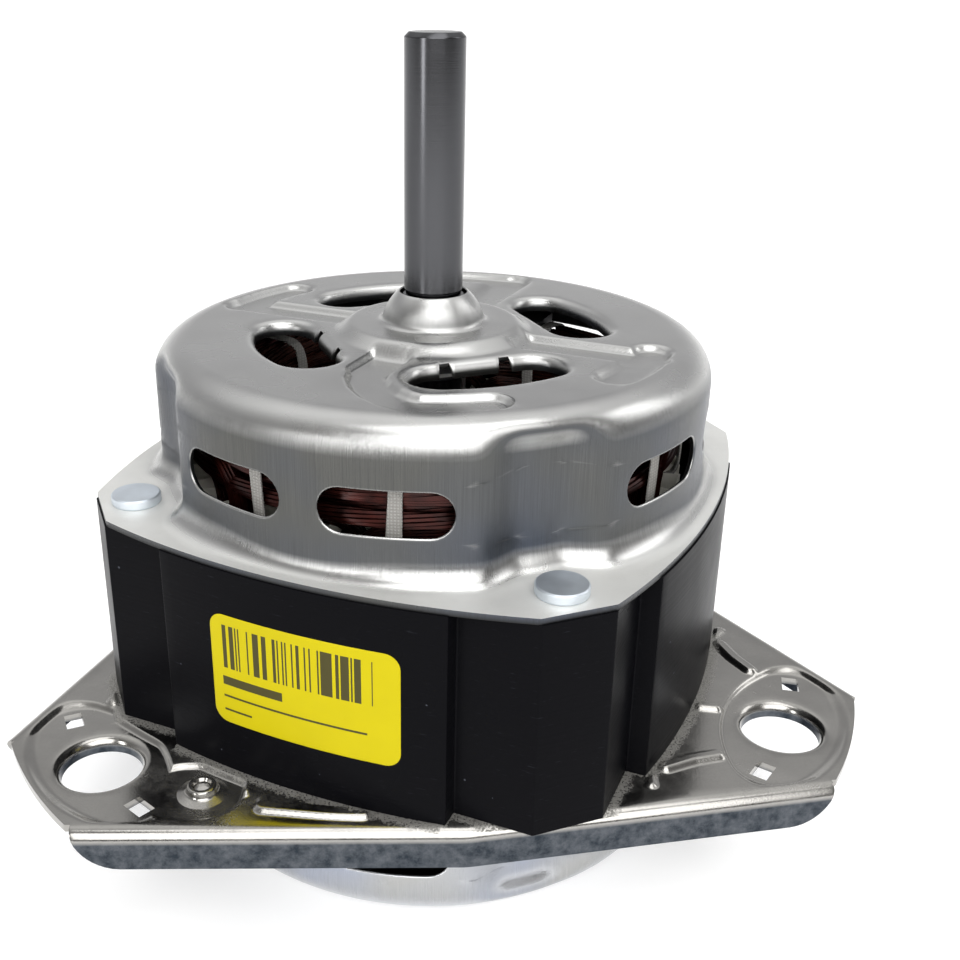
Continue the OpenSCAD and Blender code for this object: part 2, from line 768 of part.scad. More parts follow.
// Ball-shaped bush about the origin
module bush() {
    color("peru") difference() {
        intersection() {
            sphere(r = bush_ball_r);
            translate([0, 0, -bush_l / 2]) cylinder(r = bush_ball_r, h = bush_l);
        }
        translate([0, 0, -bush_l]) cylinder(r = bush_r, h = 2 * bush_l);
    }
}

felt_h = 4.6;
felt_outer_r = 14.6;
cup_t = 0.8;
cup_depth = felt_h + cup_t + 0.2;

// Spring cup that holds a bush and its felt against the hub, its rim at z = 0
module retainer() {
    ball_r = sqrt(pow(bush_ball_r, 2) - pow(cup_depth - (hub_rise - cover_t) - cup_t, 2));
    color("darkgray") {
        ring(felt_outer_r + cup_t + 0.2, ball_r + 0.15, cup_t, -cup_depth);
        ring(felt_outer_r + cup_t + 0.2, felt_outer_r + 0.2, cup_depth, -cup_depth);
        ring(hub_r - cover_t - 0.3, felt_outer_r + 0.2, cup_t, -cup_t);
    }
}

module felt() {
    color("tan") ring(felt_outer_r, bush_ball_r + 0.3, felt_h, -felt_h - 0.1);
}

// Snap ring with its gap
module snap_ring() {
    color("slategray") difference() {
        ring(journal_r + 2, journal_r - ring_depth, ring_t);
        translate([0, -1.5, -cut]) cube([journal_r + 4, 3, ring_t + 2 * cut]);
    }
}

module top_bush() { translate([0, 0, top_dome_z]) bush(); }
module bottom_bush() { translate([0, 0, bottom_dome_z]) bush(); }

top_seat_z = top_dome_z + hub_rise - cover_t;
bottom_seat_z = bottom_dome_z - hub_rise + cover_t;

module top_bush_retainer() { translate([0, 0, top_seat_z]) retainer(); }
module bottom_bush_retainer() { translate([0, 0, bottom_seat_z]) mirror([0, 0, 1]) retainer(); }
module top_oil_felt() { translate([0, 0, top_seat_z]) felt(); }
module bottom_oil_felt() { translate([0, 0, bottom_seat_z]) mirror([0, 0, 1]) felt(); }
module top_thrust_washer() { color("white") ring(journal_r + 3, journal_r + 0.1, washer_t, top_washer_z); }
module bottom_thrust_washer() { color("white") ring(journal_r + 3, journal_r + 0.1, washer_t, bottom_washer_z); }
module top_snap_ring() { translate([0, 0, top_washer_z - ring_t]) snap_ring(); }
module bottom_snap_ring() { translate([0, 0, bottom_washer_z + washer_t]) snap_ring(); }

module thrust_pad() {
    pad_r = 4;
    color("white") intersection() {
        translate([0, 0, bottom_dome_z]) sphere(r = bush_ball_r);
        translate([0, 0, bottom_dome_z - dome_inner_r])
            cylinder(r = pad_r, h = pad_top_z - bottom_dome_z + dome_inner_r);
    }
}

spring_h = 1.1;
bolt_seat_z = stack_z1 + cover_t;
nut_seat_z = -cover_t;

module through_bolts() {
    tip_z = nut_seat_z - spring_h - nut_h - 1.5;
    crown = 0.7;
    color("whitesmoke") at_angles(corners) out(bolt_circle_r) {
        translate([0, 0, tip_z]) cylinder(d = bolt_d, h = bolt_seat_z - tip_z + 0.5);
        translate([0, 0, bolt_seat_z]) cylinder(d = head_d, h = head_h - crown);
        translate([0, 0, bolt_seat_z + head_h - crown])
            cylinder(d1 = head_d, d2 = head_d - 2 * crown, h = crown);
    }
}

module spring_washers() {
    color("gray") at_angles(corners) out(bolt_circle_r) difference() {
        ring(nut_flats / 2, bolt_d / 2 + 0.1, spring_h, nut_seat_z - spring_h);
        translate([0, -0.3, nut_seat_z - spring_h - cut]) cube([nut_flats, 0.6, spring_h + 2 * cut]);
    }
}

module bolt_nuts() {
    color("silver") at_angles(corners) out(bolt_circle_r, nut_seat_z - spring_h - nut_h) difference() {
        rotate(30) cylinder(d = nut_flats / cos(30), h = nut_h, $fn = 6);
        translate([0, 0, -cut]) cylinder(d = bolt_d + 0.04, h = nut_h + 2 * cut);
    }
}

module lead_grommet() {
    wall_r = bottom_can_d / 2 - cover_t;
    lip = 1.8;
    hole_r = 2.8;
    flat = 0.6;
    color([0.12, 0.12, 0.12]) rotate(grommet_angle) out(wall_r, -bottom_slot_z) rotate([0, 90, 0])
        difference() {
            union() {
                translate([0, 0, -lip - flat]) cylinder(r = grommet_r + lip, h = lip);
                translate([0, 0, -lip - flat])
                    cylinder(r = grommet_r - 0.1, h = 2 * lip + 2 * flat + cover_t);
                translate([0, 0, cover_t + 0.1]) cylinder(r = grommet_r + lip, h = lip);
            }
            translate([0, 0, -10]) cylinder(r = hole_r, h = 20);
        }
}

module side_label() {
    label_t = 0.2;
    label_side = sides[3];
    round_r = 3;
    shift = 1.8;
    color("gold") rotate(label_side) intersection() {
        out(stack_across / 2 - stack_side_r)
            ring(stack_side_r + label_t, stack_side_r, label_high, label_z - label_high / 2);
        out(stack_across / 2 - 5) rotate([90, 0, 90]) linear_extrude(10) translate([shift, label_z]) {
            square([label_w, label_high - 2 * round_r], center = true);
            square([label_w - 2 * round_r, label_high], center = true);
            for (x = [-1, 1]) for (y = [-1, 1])
                translate([x * (label_w / 2 - round_r), y * (label_high / 2 - round_r)]) circle(r = round_r);
        }
    }
}

top_cover();
bottom_cover();
mounting_plate();
stator_core();
slot_liners();
slot_wedges();
main_winding();
start_winding();
top_lacing();
bottom_lacing();
thermal_cutout();
rotor_core();
rotor_cage();
shaft();
top_bush();
bottom_bush();
top_bush_retainer();
bottom_bush_retainer();
top_oil_felt();
bottom_oil_felt();
top_thrust_washer();
bottom_thrust_washer();
top_snap_ring();
bottom_snap_ring();
thrust_pad();
through_bolts();
spring_washers();
bolt_nuts();
lead_grommet();
side_label();
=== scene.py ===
"""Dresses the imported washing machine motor: pressed covers, mounting plate, windings and finishes.

All sizes inside the shape functions are in millimetres, in the frame of the CAD part:
z = 0 is the underside of the mounting plate, and the shaft runs along +Z.
"""
import math

import bmesh
import bpy
import numpy as np
from mathutils import Matrix, Vector
from mathutils.geometry import delaunay_2d_cdt


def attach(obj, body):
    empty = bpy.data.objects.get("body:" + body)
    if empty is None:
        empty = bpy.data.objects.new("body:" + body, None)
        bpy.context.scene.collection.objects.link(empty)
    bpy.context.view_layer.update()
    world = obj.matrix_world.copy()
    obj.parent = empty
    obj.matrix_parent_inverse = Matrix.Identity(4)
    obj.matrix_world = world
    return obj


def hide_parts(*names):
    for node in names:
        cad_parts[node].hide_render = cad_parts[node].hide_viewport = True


bl_info = {
    "name": "Washing machine motor",
    "version": (1, 0, 0),
    "blender": (4, 5, 0),
    "location": "View3D > Sidebar > Motor",
    "description": "Pressed covers, plate, windings and finishes around the packed motor",
    "category": "Object",
}

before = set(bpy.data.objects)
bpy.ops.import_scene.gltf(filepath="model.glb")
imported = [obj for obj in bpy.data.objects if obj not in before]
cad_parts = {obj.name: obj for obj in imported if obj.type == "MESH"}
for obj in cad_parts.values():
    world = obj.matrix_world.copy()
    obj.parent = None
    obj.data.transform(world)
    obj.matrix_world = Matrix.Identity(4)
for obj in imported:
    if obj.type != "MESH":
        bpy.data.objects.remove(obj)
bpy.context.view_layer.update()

MM = 0.001
HOUSING = "housing"
ROTOR = "rotor"

# Levels, sheets and directions of the CAD part, in millimetres and degrees
STACK_LOW = 1.5
STACK_HIGH = 45.0
SHEET = 1.2
PLATE_T = 1.5
CORNERS = 15.0
SIDES = -30.0
EARS = -30.0

# Outline of the stack and the flanges: bowed sides, cut corners and the shoulders beside them
SIDE_R = 157.0
SIDE_CENTRE = 61.7 - SIDE_R
CORNER_REACH = 70.7
SHOULDER_REACH = 55.0
SHOULDER_HALF = 29.5
FLANGE_INSET = 0.3

# Covers: heights over the flange, hubs, domes and the openings of the wall
TOP_HIGH = 31.0
TOP_HUB_R = 14.5
HUB_RISE = 2.0
HUB_FOOT = 21.0
BOTTOM_HIGH = 29.5
BOTTOM_HUB_R = 24.0
DOME_R = 10.9
BOSS_HOLE = 6.9
TOP_DOME = STACK_HIGH + TOP_HIGH
BOTTOM_DOME = -18.5
SLOT_LONG = 24.5
SLOT_TALL = 8.6
SLOT_ROOM = 7
LEAD_HOLE_R = 5.0
WINDOW_COUNTS = (72, 32, 40)

# Channels pressed into the top: half widths, the arcs' radius and their first and last angle
ARM_HALF = 4.2
ARM_START = 18
ARC_HALF = 3.7
ARC_R = 45.6
CHANNEL_WALL = 1.9
CHANNEL_DEEP = 1.3
FRONT_BEND_START = 29.0
FRONT_BEND = [(-14.6, -25.2), (-15.4, -30.0), (-14.9, -34.6), (-13.4, -39.0), (-11.0, -42.6), (-8.1, -45.0)]
ARCS = ((259.8, 276.8), (-47.8, -24.2), (59.2, 80.8), (129.2, 150.8))

# Outline of the mounting plate, its folded edge and its holes
PLATE_SIDE = 67.87
PLATE_SIDE_ANGLE = 55.22
EAR_REACH = 94.0
PLATE_BEND = 2.6
FOLD_HIGH = 8
FOLD_END = 9.0
FOLD_START = 1.0
PLATE_OPENING = 56.0
MOUNT_CIRCLE = 80.0
MOUNT_HOLE = 7.9
HOLE_LIP = 2.0
KEY_CIRCLE = 81.0
KEY_TURN = 12
KEY_SIZE = (1.75, 2.5)
BOLT_CIRCLE = 63.5
BOLT_HOLE = 2.25
EARTH = (-48.7, -51.1)
EARTH_HOLE = 1.65

# Forms pressed into the plate. Ribs at an ear: path (out along the ear, across it), half width, height
PAD = (11.8, 21.5, 7.96)
PAD_DEEP = 1.0
TRAY_SPINE = [(-52.5, -51.3), (-48.7, -51.5)]
TRAY_R = 8.0
LONG_RIB = [(-37.0, -57.9), (-19.0, -61.9)]
EAR_RIBS = (
    ([(61.8, 25.3), (66.0, 20.6), (70.2, 17.2)], 1.35, 0.95),
    ([(59.7, 29.2), (60.6, 31.6)], 1.0, 0.6),
)
EAR_NUB = [(63.4, -1.8), (66.4, -1.0)]

# Shaft, bushes and fasteners
JOURNAL_R = 6.3
SHAFT_R = 6
FREE_END = 50
BUSH_HALF = 6.5
THRUST_GAP = 0.2
THRUST_WASHER = 1.0
SNAP_RING = 1
WASHER_TALL = 1.1
NUT_TALL = 3.2
BOLT_PROUD = 1.5

# Coils: wires of a bundle and of the rings that fill the end turns, and the tape's section
BUNDLE_WIRES = 14
WIRE_R = 0.34
RING_WIRES = 10
RING_WIRE_R = 0.42
CORE_R = 1.2
TAPE_HALF = 1.45
TAPE_THICK = 0.3
TAPE_TURN = 17

# Floor's height, the photograph's width and the point of it that the camera's axis meets, in pixels
FLOOR_LEVEL = -29.6
PICTURE = 960
AXIS_POINT = (430.66, 466.46)

# Label on the stack's side: width, height, height of its middle, shift along the side and corner radius
LABEL = {"wide": 39.0, "high": 23.5, "middle": 24.2, "shift": 1.8, "corner": 3.0}


def ease(t):
    """Eases from 0 to 1 with level ends: 3 t squared minus 2 t cubed, t held between 0 and 1."""
    t = np.clip(t, 0.0, 1.0)
    return t * t * (3 - 2 * t)


def nearest(angle, first, step):
    """Signed angle, in degrees, from the nearest of the directions first + k step."""
    return (np.asarray(angle) - first + step / 2) % step - step / 2


def polar(radius, angle, z):
    """Points at a radius and an angle in degrees about the shaft, at height z."""
    a = np.radians(angle)
    radius, a, z = np.broadcast_arrays(radius, a, z)
    return np.stack([radius * np.cos(a), radius * np.sin(a), z], -1)


def turned(points, angle):
    """Points turned about the shaft by an angle in degrees."""
    a = math.radians(angle)
    turn = np.array([[math.cos(a), -math.sin(a), 0], [math.sin(a), math.cos(a), 0], [0, 0, 1]])
    return points @ turn.T


def grid(points, round_rows=False, round_columns=False):
    """Quads between the rows and columns of an array of points; a round direction closes on itself."""
    rows, columns = points.shape[:2]
    i = np.arange(rows if round_rows else rows - 1)[:, None]
    j = np.arange(columns if round_columns else columns - 1)[None, :]
    low, high = i * columns, (i + 1) % rows * columns
    right = (j + 1) % columns
    faces = np.stack([low + j, low + right, high + right, high + j], -1)
    return points.reshape(-1, 3), faces.reshape(-1, 4)


def join(parts):
    """One list of points and one of faces out of several."""
    starts = np.cumsum([0] + [len(points) for points, faces in parts[:-1]])
    faces = [faces + start for (points, faces), start in zip(parts, starts)]
    return np.vstack([points for points, _ in parts]), [row for block in faces for row in block.tolist()]


def rounded(corners, steps=5):
    """Path through corners (across, up, radius), each corner replaced by an arc of its radius."""
    path = [np.array([corners[0][:2]], float)]
    for before, here, after in zip(corners, corners[1:], corners[2:]):
        point, radius = np.array(here[:2], float), here[2]
        u = np.array(before[:2]) - point
        v = np.array(after[:2]) - point
        u, v = u / np.linalg.norm(u), v / np.linalg.norm(v)
        half = math.acos(np.clip(u @ v, -1, 1)) / 2
        if radius == 0 or half > 1.57:
            path.append(point[None])
            continue
        centre = point + (u + v) / np.linalg.norm(u + v) * radius / math.sin(half)
        start = point + u * radius / math.tan(half) - centre
        end = point + v * radius / math.tan(half) - centre
        sweep = math.pi - 2 * half
        t = np.linspace(0, 1, steps + 1)[:, None]
        path.append(centre + (np.sin((1 - t) * sweep) * start + np.sin(t * sweep) * end) / math.sin(sweep))
    path.append(np.array([corners[-1][:2]], float))
    return np.vstack(path)


def spun(profile, columns, z=0.0):
    """Surface of a path (radius, height) carried round the shaft's direction."""
    angle = np.arange(columns) * 360.0 / columns
    return grid(polar(profile[:, :1], angle[None, :], profile[:, 1:] + z), round_columns=True)


def tube(path, radius, out, sides=6, closed=False):
    """Tube along a path. Each ring is spanned by out, made square to the path, and by their cross product."""
    if closed:
        run = np.roll(path, -1, 0) - np.roll(path, 1, 0)
    else:
        run = np.gradient(path, axis=0)
    run /= np.linalg.norm(run, axis=1, keepdims=True)
    side = np.cross(run, out)
    side /= np.linalg.norm(side, axis=1, keepdims=True)
    up = np.cross(side, run)
    a = np.arange(sides) * 2 * math.pi / sides
    ring = np.cos(a)[None, :, None] * side[:, None] + np.sin(a)[None, :, None] * up[:, None]
    points = path[:, None] + ring * np.reshape(radius, (-1, 1, 1))
    if not closed:
        points = np.concatenate([path[:1, None] + 0 * ring[:1], points, path[-1:, None] + 0 * ring[:1]])
    return grid(points, round_rows=closed, round_columns=True)


def turn_outwards(mesh, centre):
    """Flips a mesh unless its faces, taken by area, point away from the centre."""
    middles = np.zeros(len(mesh.polygons) * 3)
    normals = np.zeros(len(mesh.polygons) * 3)
    areas = np.zeros(len(mesh.polygons))
    mesh.polygons.foreach_get("center", middles)
    mesh.polygons.foreach_get("normal", normals)
    mesh.polygons.foreach_get("area", areas)
    outward = ((middles.reshape(-1, 3) - centre) * normals.reshape(-1, 3)).sum(1) @ areas
    if outward < 0:
        mesh.flip_normals()


def piece(name, shape, material, body=HOUSING, stands_for=(), wall=0.0, inside=None, sharp=60.0):
    """Makes a mesh object at the origin out of points in millimetres, and lets it ride on its body.

    Doubles are merged and neighbouring faces made to agree. Then all faces are turned to point
    away from inside, or so that the volume they close is positive. A wall turns the sheet into a
    solid, whose second half of points is the inner skin, marked by the attribute inner.
    """
    points, faces = shape
    mesh = bpy.data.meshes.new(name)
    faces = faces if isinstance(faces, list) else faces.tolist()
    mesh.from_pydata((np.asarray(points) * MM).tolist(), [], faces)
    work = bmesh.new()
    work.from_mesh(mesh)
    bmesh.ops.remove_doubles(work, verts=work.verts, dist=0.004 * MM)
    bmesh.ops.dissolve_degenerate(work, edges=work.edges, dist=0.002 * MM)
    bmesh.ops.recalc_face_normals(work, faces=work.faces)
    work.to_mesh(mesh)
    work.free()
    turn_outwards(mesh, np.zeros(3) if inside is None else np.array(inside, float) * MM)
    made = bpy.data.objects.new(name, mesh)
    bpy.context.scene.collection.objects.link(made)
    if wall:
        outer = len(mesh.vertices)
        solid = made.modifiers.new("wall", "SOLIDIFY")
        solid.thickness = wall * MM
        solid.offset = -1
        solid.use_quality_normals = True
        baked = made.evaluated_get(bpy.context.evaluated_depsgraph_get())
        made.data = bpy.data.meshes.new_from_object(baked)
        made.data.name = name
        made.modifiers.clear()
        inner = (np.arange(len(made.data.vertices)) >= outer).astype(np.float32)
        made.data.attributes.new("inner", "FLOAT", "POINT").data.foreach_set("value", inner)
    made.data.polygons.foreach_set("use_smooth", np.ones(len(made.data.polygons), bool))
    made.data.set_sharp_from_angle(angle=math.radians(sharp))
    made.data.materials.clear()
    made.data.materials.append(material)
    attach(made, body)
    if stands_for:
        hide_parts(*stands_for)
    return made


def even_points(reach, step):
    """Points of a grid of even triangles."""
    n = int(1.16 * reach / step) + 1
    i, j = np.meshgrid(np.arange(-n, n + 1), np.arange(-n, n + 1))
    return (step * (i + 0.5 * (j % 2))).ravel(), (step * math.sqrt(0.75) * j).ravel()


def slopes(height, x, y, far=0.55):
    """True where a height changes within a short distance."""
    here = height(x, y)
    shifts = ((far, 0), (-far, 0), (0, far), (0, -far))
    return np.max([np.abs(height(x + a, y + b) - here) for a, b in shifts], axis=0) > 0.004


def flat_sheet(loops, room, step, fine=None, height=None):
    """Points and triangles of a flat sheet between outlines: a grid of even triangles joined to the loops.

    room(x, y, edge) says where a point lies on the sheet, at least edge away from its outlines. Where
    height changes, the grid has the fine step.
    """
    reach = max(np.abs(loop).max() for loop in loops)
    x, y = even_points(reach, step)
    keep = room(x, y, 0.5 * step)
    if fine:
        x, y = x[keep], y[keep]
        level = ~slopes(height, x, y)
        close_x, close_y = even_points(reach, fine)
        near = room(close_x, close_y, 0.6 * fine)
        close_x, close_y = close_x[near], close_y[near]
        steep = slopes(height, close_x, close_y)
        x = np.concatenate([x[level], close_x[steep]])
        y = np.concatenate([y[level], close_y[steep]])
        keep = np.ones(len(x), bool)
    edges, start = [], 0
    for loop in loops:
        index = np.arange(len(loop))
        edges += np.stack([start + index, start + (index + 1) % len(loop)], -1).tolist()
        start += len(loop)
    flat = np.vstack([*loops, np.column_stack([x[keep], y[keep]])])
    made = delaunay_2d_cdt([Vector(p) for p in flat.tolist()], edges, [], 0, 1e-5)
    points = np.array([tuple(p) for p in made[0]])
    outline = np.array([edge for edge, source in zip(made[1], made[4]) if source])
    inner = np.array([bool(source) and min(source) >= start for source in made[3]])
    return points, joined_to(np.array([f for f in made[2] if len(f) == 3]), outline, inner)


def joined_to(triangles, outline, inner):
    """The triangles that an inner point or its neighbours belong to, without crossing an outline.

    Two triangles are neighbours where they share an edge that is no outline.
    """
    size = len(inner)
    outline = np.sort(outline, axis=1)
    ends = np.sort(triangles[:, [0, 1, 1, 2, 2, 0]].reshape(-1, 2), axis=1)
    key = ends[:, 0] * size + ends[:, 1]
    owner = np.repeat(np.arange(len(triangles)), 3)
    order = np.argsort(key)
    key, owner = key[order], owner[order]
    shared = (key[:-1] == key[1:]) & ~np.isin(key[:-1], outline[:, 0] * size + outline[:, 1])
    one, other = owner[:-1][shared], owner[1:][shared]
    keep = inner[triangles].any(1)
    count = 0
    while count != keep.sum():
        count = keep.sum()
        keep[one[keep[other]]] = True
        keep[other[keep[one]]] = True
    return triangles[keep]


def ring_points(radius, count):
    """Points of a circle about the shaft, the first on a side's middle."""
    return polar(radius, SIDES + np.arange(count) * 360.0 / count, 0)[:, :2]


def side_frame(x, y):
    """Distance out along the middle of the nearest side, and distance across it."""
    turn = np.radians(nearest(np.degrees(np.arctan2(y, x)), SIDES, 90))
    radius = np.hypot(x, y)
    return radius * np.cos(turn), radius * np.sin(turn)


def bow(across, inset=0.0):
    """Reach of a bowed side: root(R squared - across squared) from a centre behind the shaft."""
    return SIDE_CENTRE + np.sqrt((SIDE_R - inset) ** 2 - np.square(across))


def flange_radius(angle, inset=0.0):
    """Distance from the shaft to a flange's outline: the least of four bowed sides and four cut corners.

    A bowed side is a circle of radius R about a centre behind the shaft, so the distance is
    c cos(a) + root(R squared - c squared sin squared(a)) with a from the side's middle.
    """
    side = np.radians(nearest(angle, SIDES, 90))
    bowed = SIDE_CENTRE * np.cos(side) + np.sqrt((SIDE_R - inset) ** 2 - (SIDE_CENTRE * np.sin(side)) ** 2)
    corner = np.radians(nearest(angle, CORNERS, 90))
    return np.minimum(bowed, (CORNER_REACH - inset) / np.cos(corner))


def stack_away(x, y):
    """How far a point stands outside the laminations, which step back to a flat beside each corner."""
    along, across = side_frame(x, y)
    reach = np.where(np.abs(across) < SHOULDER_HALF, bow(across), SHOULDER_REACH)
    return np.maximum(along - reach, (along + np.abs(across)) / math.sqrt(2) - CORNER_REACH)


def plate_radius(angle, inset=0.0):
    """Distance from the shaft to the plate's outline: a straight side, or the round end of an ear."""
    turn = np.radians(np.abs(nearest(angle, EARS, 120)) - PLATE_SIDE_ANGLE)
    return np.minimum((PLATE_SIDE - inset) / np.cos(turn), EAR_REACH - inset)


def corner_half(inset=0.0):
    """Angle from a corner's middle to where the cut corner meets a bowed side."""
    angles = np.linspace(2, 9, 1401)
    flat = (CORNER_REACH - inset) / np.cos(np.radians(angles))
    bowed = flange_radius(CORNERS + angles, inset)
    return float(angles[np.argmax(bowed < flat - 1e-6)])


class Cover:
    """Sizes of one pressed cover, drawn as if its closed face were on top of a flange at z = 0."""

    def __init__(self, radius, height, window, slot_z):
        self.radius = radius
        self.height = height
        self.window = window
        self.slot_z = slot_z
        self.edge = 7.0
        self.flare = 5.0
        self.end_r = 6.0
        self.lip_r = 2.2
        self.lip_h = 3.0
        self.dent = 3.9
        self.cell_out = radius - self.edge - 0.2

    def dent_depth(self, angle, z):
        """Depth of the dents at the bolts: eased in along the wall, and eased out in the rounded edge."""
        turn = np.abs(nearest(angle, CORNERS, 90))
        return self.dent * ease((13.5 - turn) / 9.5) * ease((self.height - 0.9 - z) / 6.0)

    def wall(self, angle, z, inward=0.0):
        """Point of the wall's outside at an angle and a height."""
        return polar(self.radius - self.dent_depth(angle, z) - inward, angle, z)


def stroke_distance(x, y):
    """Distance beyond the edge of the channels pressed into the top, negative inside them.

    Each channel is a stroke about a middle line: an arm along a side's middle, and an arc at its end.
    """
    along, across = side_frame(x, y)
    angle = np.degrees(np.arctan2(y, x))
    reach = np.where(np.abs(nearest(angle, 240, 360)) < 45, FRONT_BEND_START, ARC_R)
    over = np.maximum(along - reach, 0) + np.maximum(ARM_START - along, 0)
    least = np.hypot(across, over) - ARM_HALF
    least = np.minimum(least, line_distance(x, y, FRONT_BEND) - ARC_HALF)
    radius = np.hypot(x, y)
    for start, end in ARCS:
        half = (end - start) / 2
        off = np.abs(nearest(angle, (start + end) / 2, 360))
        tip = np.radians(np.array([half]))
        beyond = np.hypot(radius * np.cos(np.radians(off)) - ARC_R * np.cos(tip),
                          radius * np.sin(np.radians(off)) - ARC_R * np.sin(tip))
        least = np.minimum(least, np.where(off < half, np.abs(radius - ARC_R), beyond) - ARC_HALF)
    return least


def top_height(x, y):
    """Height of the top face: the hub's eased step up, less the channels with their eased walls."""
    radius = np.hypot(x, y)
    mask = ease(0.5 - stroke_distance(x, y) / CHANNEL_WALL)
    step = HUB_RISE * ease((HUB_FOOT - radius) / 4.2)
    return TOP_HIGH + step - CHANNEL_DEEP * mask * ease((radius - 17.5) / 4)


def flat_height(height):
    """Height function of a level face."""
    return lambda x, y: np.full(np.shape(x), height)


def window_ring(cover, grow, counts):
    """Outline of a window, grown by grow: outer arc, round end, straight inner edge, round end."""
    inner, outer = cover.window
    end_x = inner + cover.end_r
    end_y = math.sqrt((outer - cover.end_r) ** 2 - end_x ** 2)
    tip = math.atan2(end_y, end_x)
    n_out, n_side, n_in = counts
    a = np.linspace(-tip, tip, n_out, endpoint=False)
    outer_arc = np.stack([(outer + grow) * np.cos(a), (outer + grow) * np.sin(a)], -1)
    a = np.linspace(tip, math.pi, n_side, endpoint=False)
    r = cover.end_r + grow
    end = np.stack([end_x + r * np.cos(a), end_y + r * np.sin(a)], -1)
    y = np.linspace(end_y, -end_y, n_in, endpoint=False)
    inner_edge = np.stack([np.full(n_in, inner - grow), y], -1)
    a = np.linspace(-math.pi, -tip, n_side, endpoint=False)
    far = np.stack([end_x + r * np.cos(a), -end_y + r * np.sin(a)], -1)
    return np.vstack([outer_arc, end, inner_edge, far])


def window_distance(cover, along, across):
    """Distance outside a window's outline: the nearer of its round ends and the part between them."""
    inner, outer = cover.window
    end_x = inner + cover.end_r
    end_y = math.sqrt((outer - cover.end_r) ** 2 - end_x ** 2)
    across = np.abs(across)
    ends = np.hypot(along - end_x, across - end_y) - cover.end_r
    between = across < end_y * np.maximum(1, along / end_x)
    middle = np.maximum(inner - along, np.hypot(along, across) - outer)
    return np.minimum(ends, np.where(between, middle, 1e3))


def window_lip(cover, height, turn):
    """Rolled lip of one window, turned into its place.

    The lip turns down about its radius R: after a length s the sheet has gone R sin(s/R) inwards
    and R (1 - cos(s/R)) down, then straight down. Two notches cut it short beside the middle of
    the straight edge.
    """
    r = cover.lip_r
    start = window_ring(cover, r, WINDOW_COUNTS)
    hole = window_ring(cover, 0.0, WINDOW_COUNTS)
    towards = (hole - start) / r
    reach = np.full(len(start), r * math.pi / 2 + cover.lip_h - r)
    y = np.abs(hole[:, 1])
    straight = hole[:, 0] < cover.window[0] + 0.01
    reach[straight & (y > 5.2) & (y < 7.3)] = 0.45 * r
    s = np.linspace(1, 0, 10)[:, None] * reach[None, :]
    bend = np.minimum(s, r * math.pi / 2)
    down = r * (1 - np.cos(bend / r)) + np.maximum(s - r * math.pi / 2, 0)
    plan = start[None] + towards[None] * (r * np.sin(bend / r))[..., None]
    lip = turned(np.dstack([plan, -down]).reshape(-1, 3), turn).reshape(plan.shape[:2] + (3,))
    lip[..., 2] += height(lip[-1, :, 0], lip[-1, :, 1])
    return grid(lip, round_columns=True)


def face_sheet(cover, height, inner, counts, step):
    """A cover's whole face, triangulated between the hub, the rounded edge and the windows' lips."""
    window = window_ring(cover, cover.lip_r, WINDOW_COUNTS)
    window = np.column_stack([window, 0 * window[:, 0]])
    turns = CORNERS + np.arange(0, 360, 90)
    loops = [ring_points(cover.cell_out, counts[0]), ring_points(inner, counts[1])]
    loops += [turned(window, turn)[:, :2] for turn in turns]

    def room(x, y, edge):
        """True where a point lies on the face, at least edge away from its outlines."""
        radius = np.hypot(x, y)
        turn = np.radians(nearest(np.degrees(np.arctan2(y, x)), CORNERS, 90))
        away = window_distance(cover, radius * np.cos(turn), radius * np.sin(turn)) - cover.lip_r
        return (radius < cover.cell_out - edge) & (radius > inner + edge) & (away > edge)

    points, triangles = flat_sheet(loops, room, 1.6, step, height)
    face = np.column_stack([points, height(points[:, 0], points[:, 1])])
    return [(face, triangles)] + [window_lip(cover, height, turn) for turn in turns]


def wall_cell(cover, first, span, outline, counts, low, high):
    """Stretch of wall from angle first over span degrees round one opening.

    outline holds the opening's edge as (along, height) from the stretch's first angle, in
    the order bottom, far end, top, near end. Its edge is turned in a little, as a punch leaves it.
    """
    n_long, n_side = counts
    length = math.radians(span) * cover.radius
    a = np.linspace(0, length, n_long, endpoint=False)
    z = np.linspace(low, high, n_side, endpoint=False)
    border = np.vstack([
        np.stack([a, np.full(n_long, low)], -1),
        np.stack([np.full(n_side, length), z], -1),
        np.stack([length - a, np.full(n_long, high)], -1),
        np.stack([np.zeros(n_side), low + high - z], -1),
    ])
    outward = np.roll(outline, -1, 0) - np.roll(outline, 1, 0)
    outward = np.stack([outward[:, 1], -outward[:, 0]], -1)
    outward /= np.linalg.norm(outward, axis=1, keepdims=True)
    rows, sinks = [], []
    for off, sink in ((0.0, 0.3), (0.08, 0.12), (0.25, 0.03)):
        rows.append(outline + outward * off)
        sinks.append(sink)
    edge = outline + outward * 0.5
    for t in np.linspace(0, 1, 10):
        rows.append((1 - t) * edge + t * border)
        sinks.append(0.0)
    rows = np.array(rows)
    angle = first + np.degrees(rows[..., 0] / cover.radius)
    return grid(cover.wall(angle, rows[..., 1], np.array(sinks)[:, None]), round_columns=True)


def slot_outline(cover, middle, counts):
    """Edge of a wall slot with round ends, its middle at an angle from the stretch's start."""
    n_long, n_side = counts
    centre = math.radians(middle) * cover.radius
    r = SLOT_TALL / 2
    half = SLOT_LONG / 2 - r
    a = np.linspace(-half, half, n_long, endpoint=False)
    turn = np.linspace(-math.pi / 2, math.pi / 2, n_side, endpoint=False)
    z = cover.slot_z
    return np.vstack([
        np.stack([centre + a, np.full(n_long, z - r)], -1),
        np.stack([centre + half + r * np.cos(turn), z + r * np.sin(turn)], -1),
        np.stack([centre - a, np.full(n_long, z + r)], -1),
        np.stack([centre - half - r * np.cos(turn), z - r * np.sin(turn)], -1),
    ])


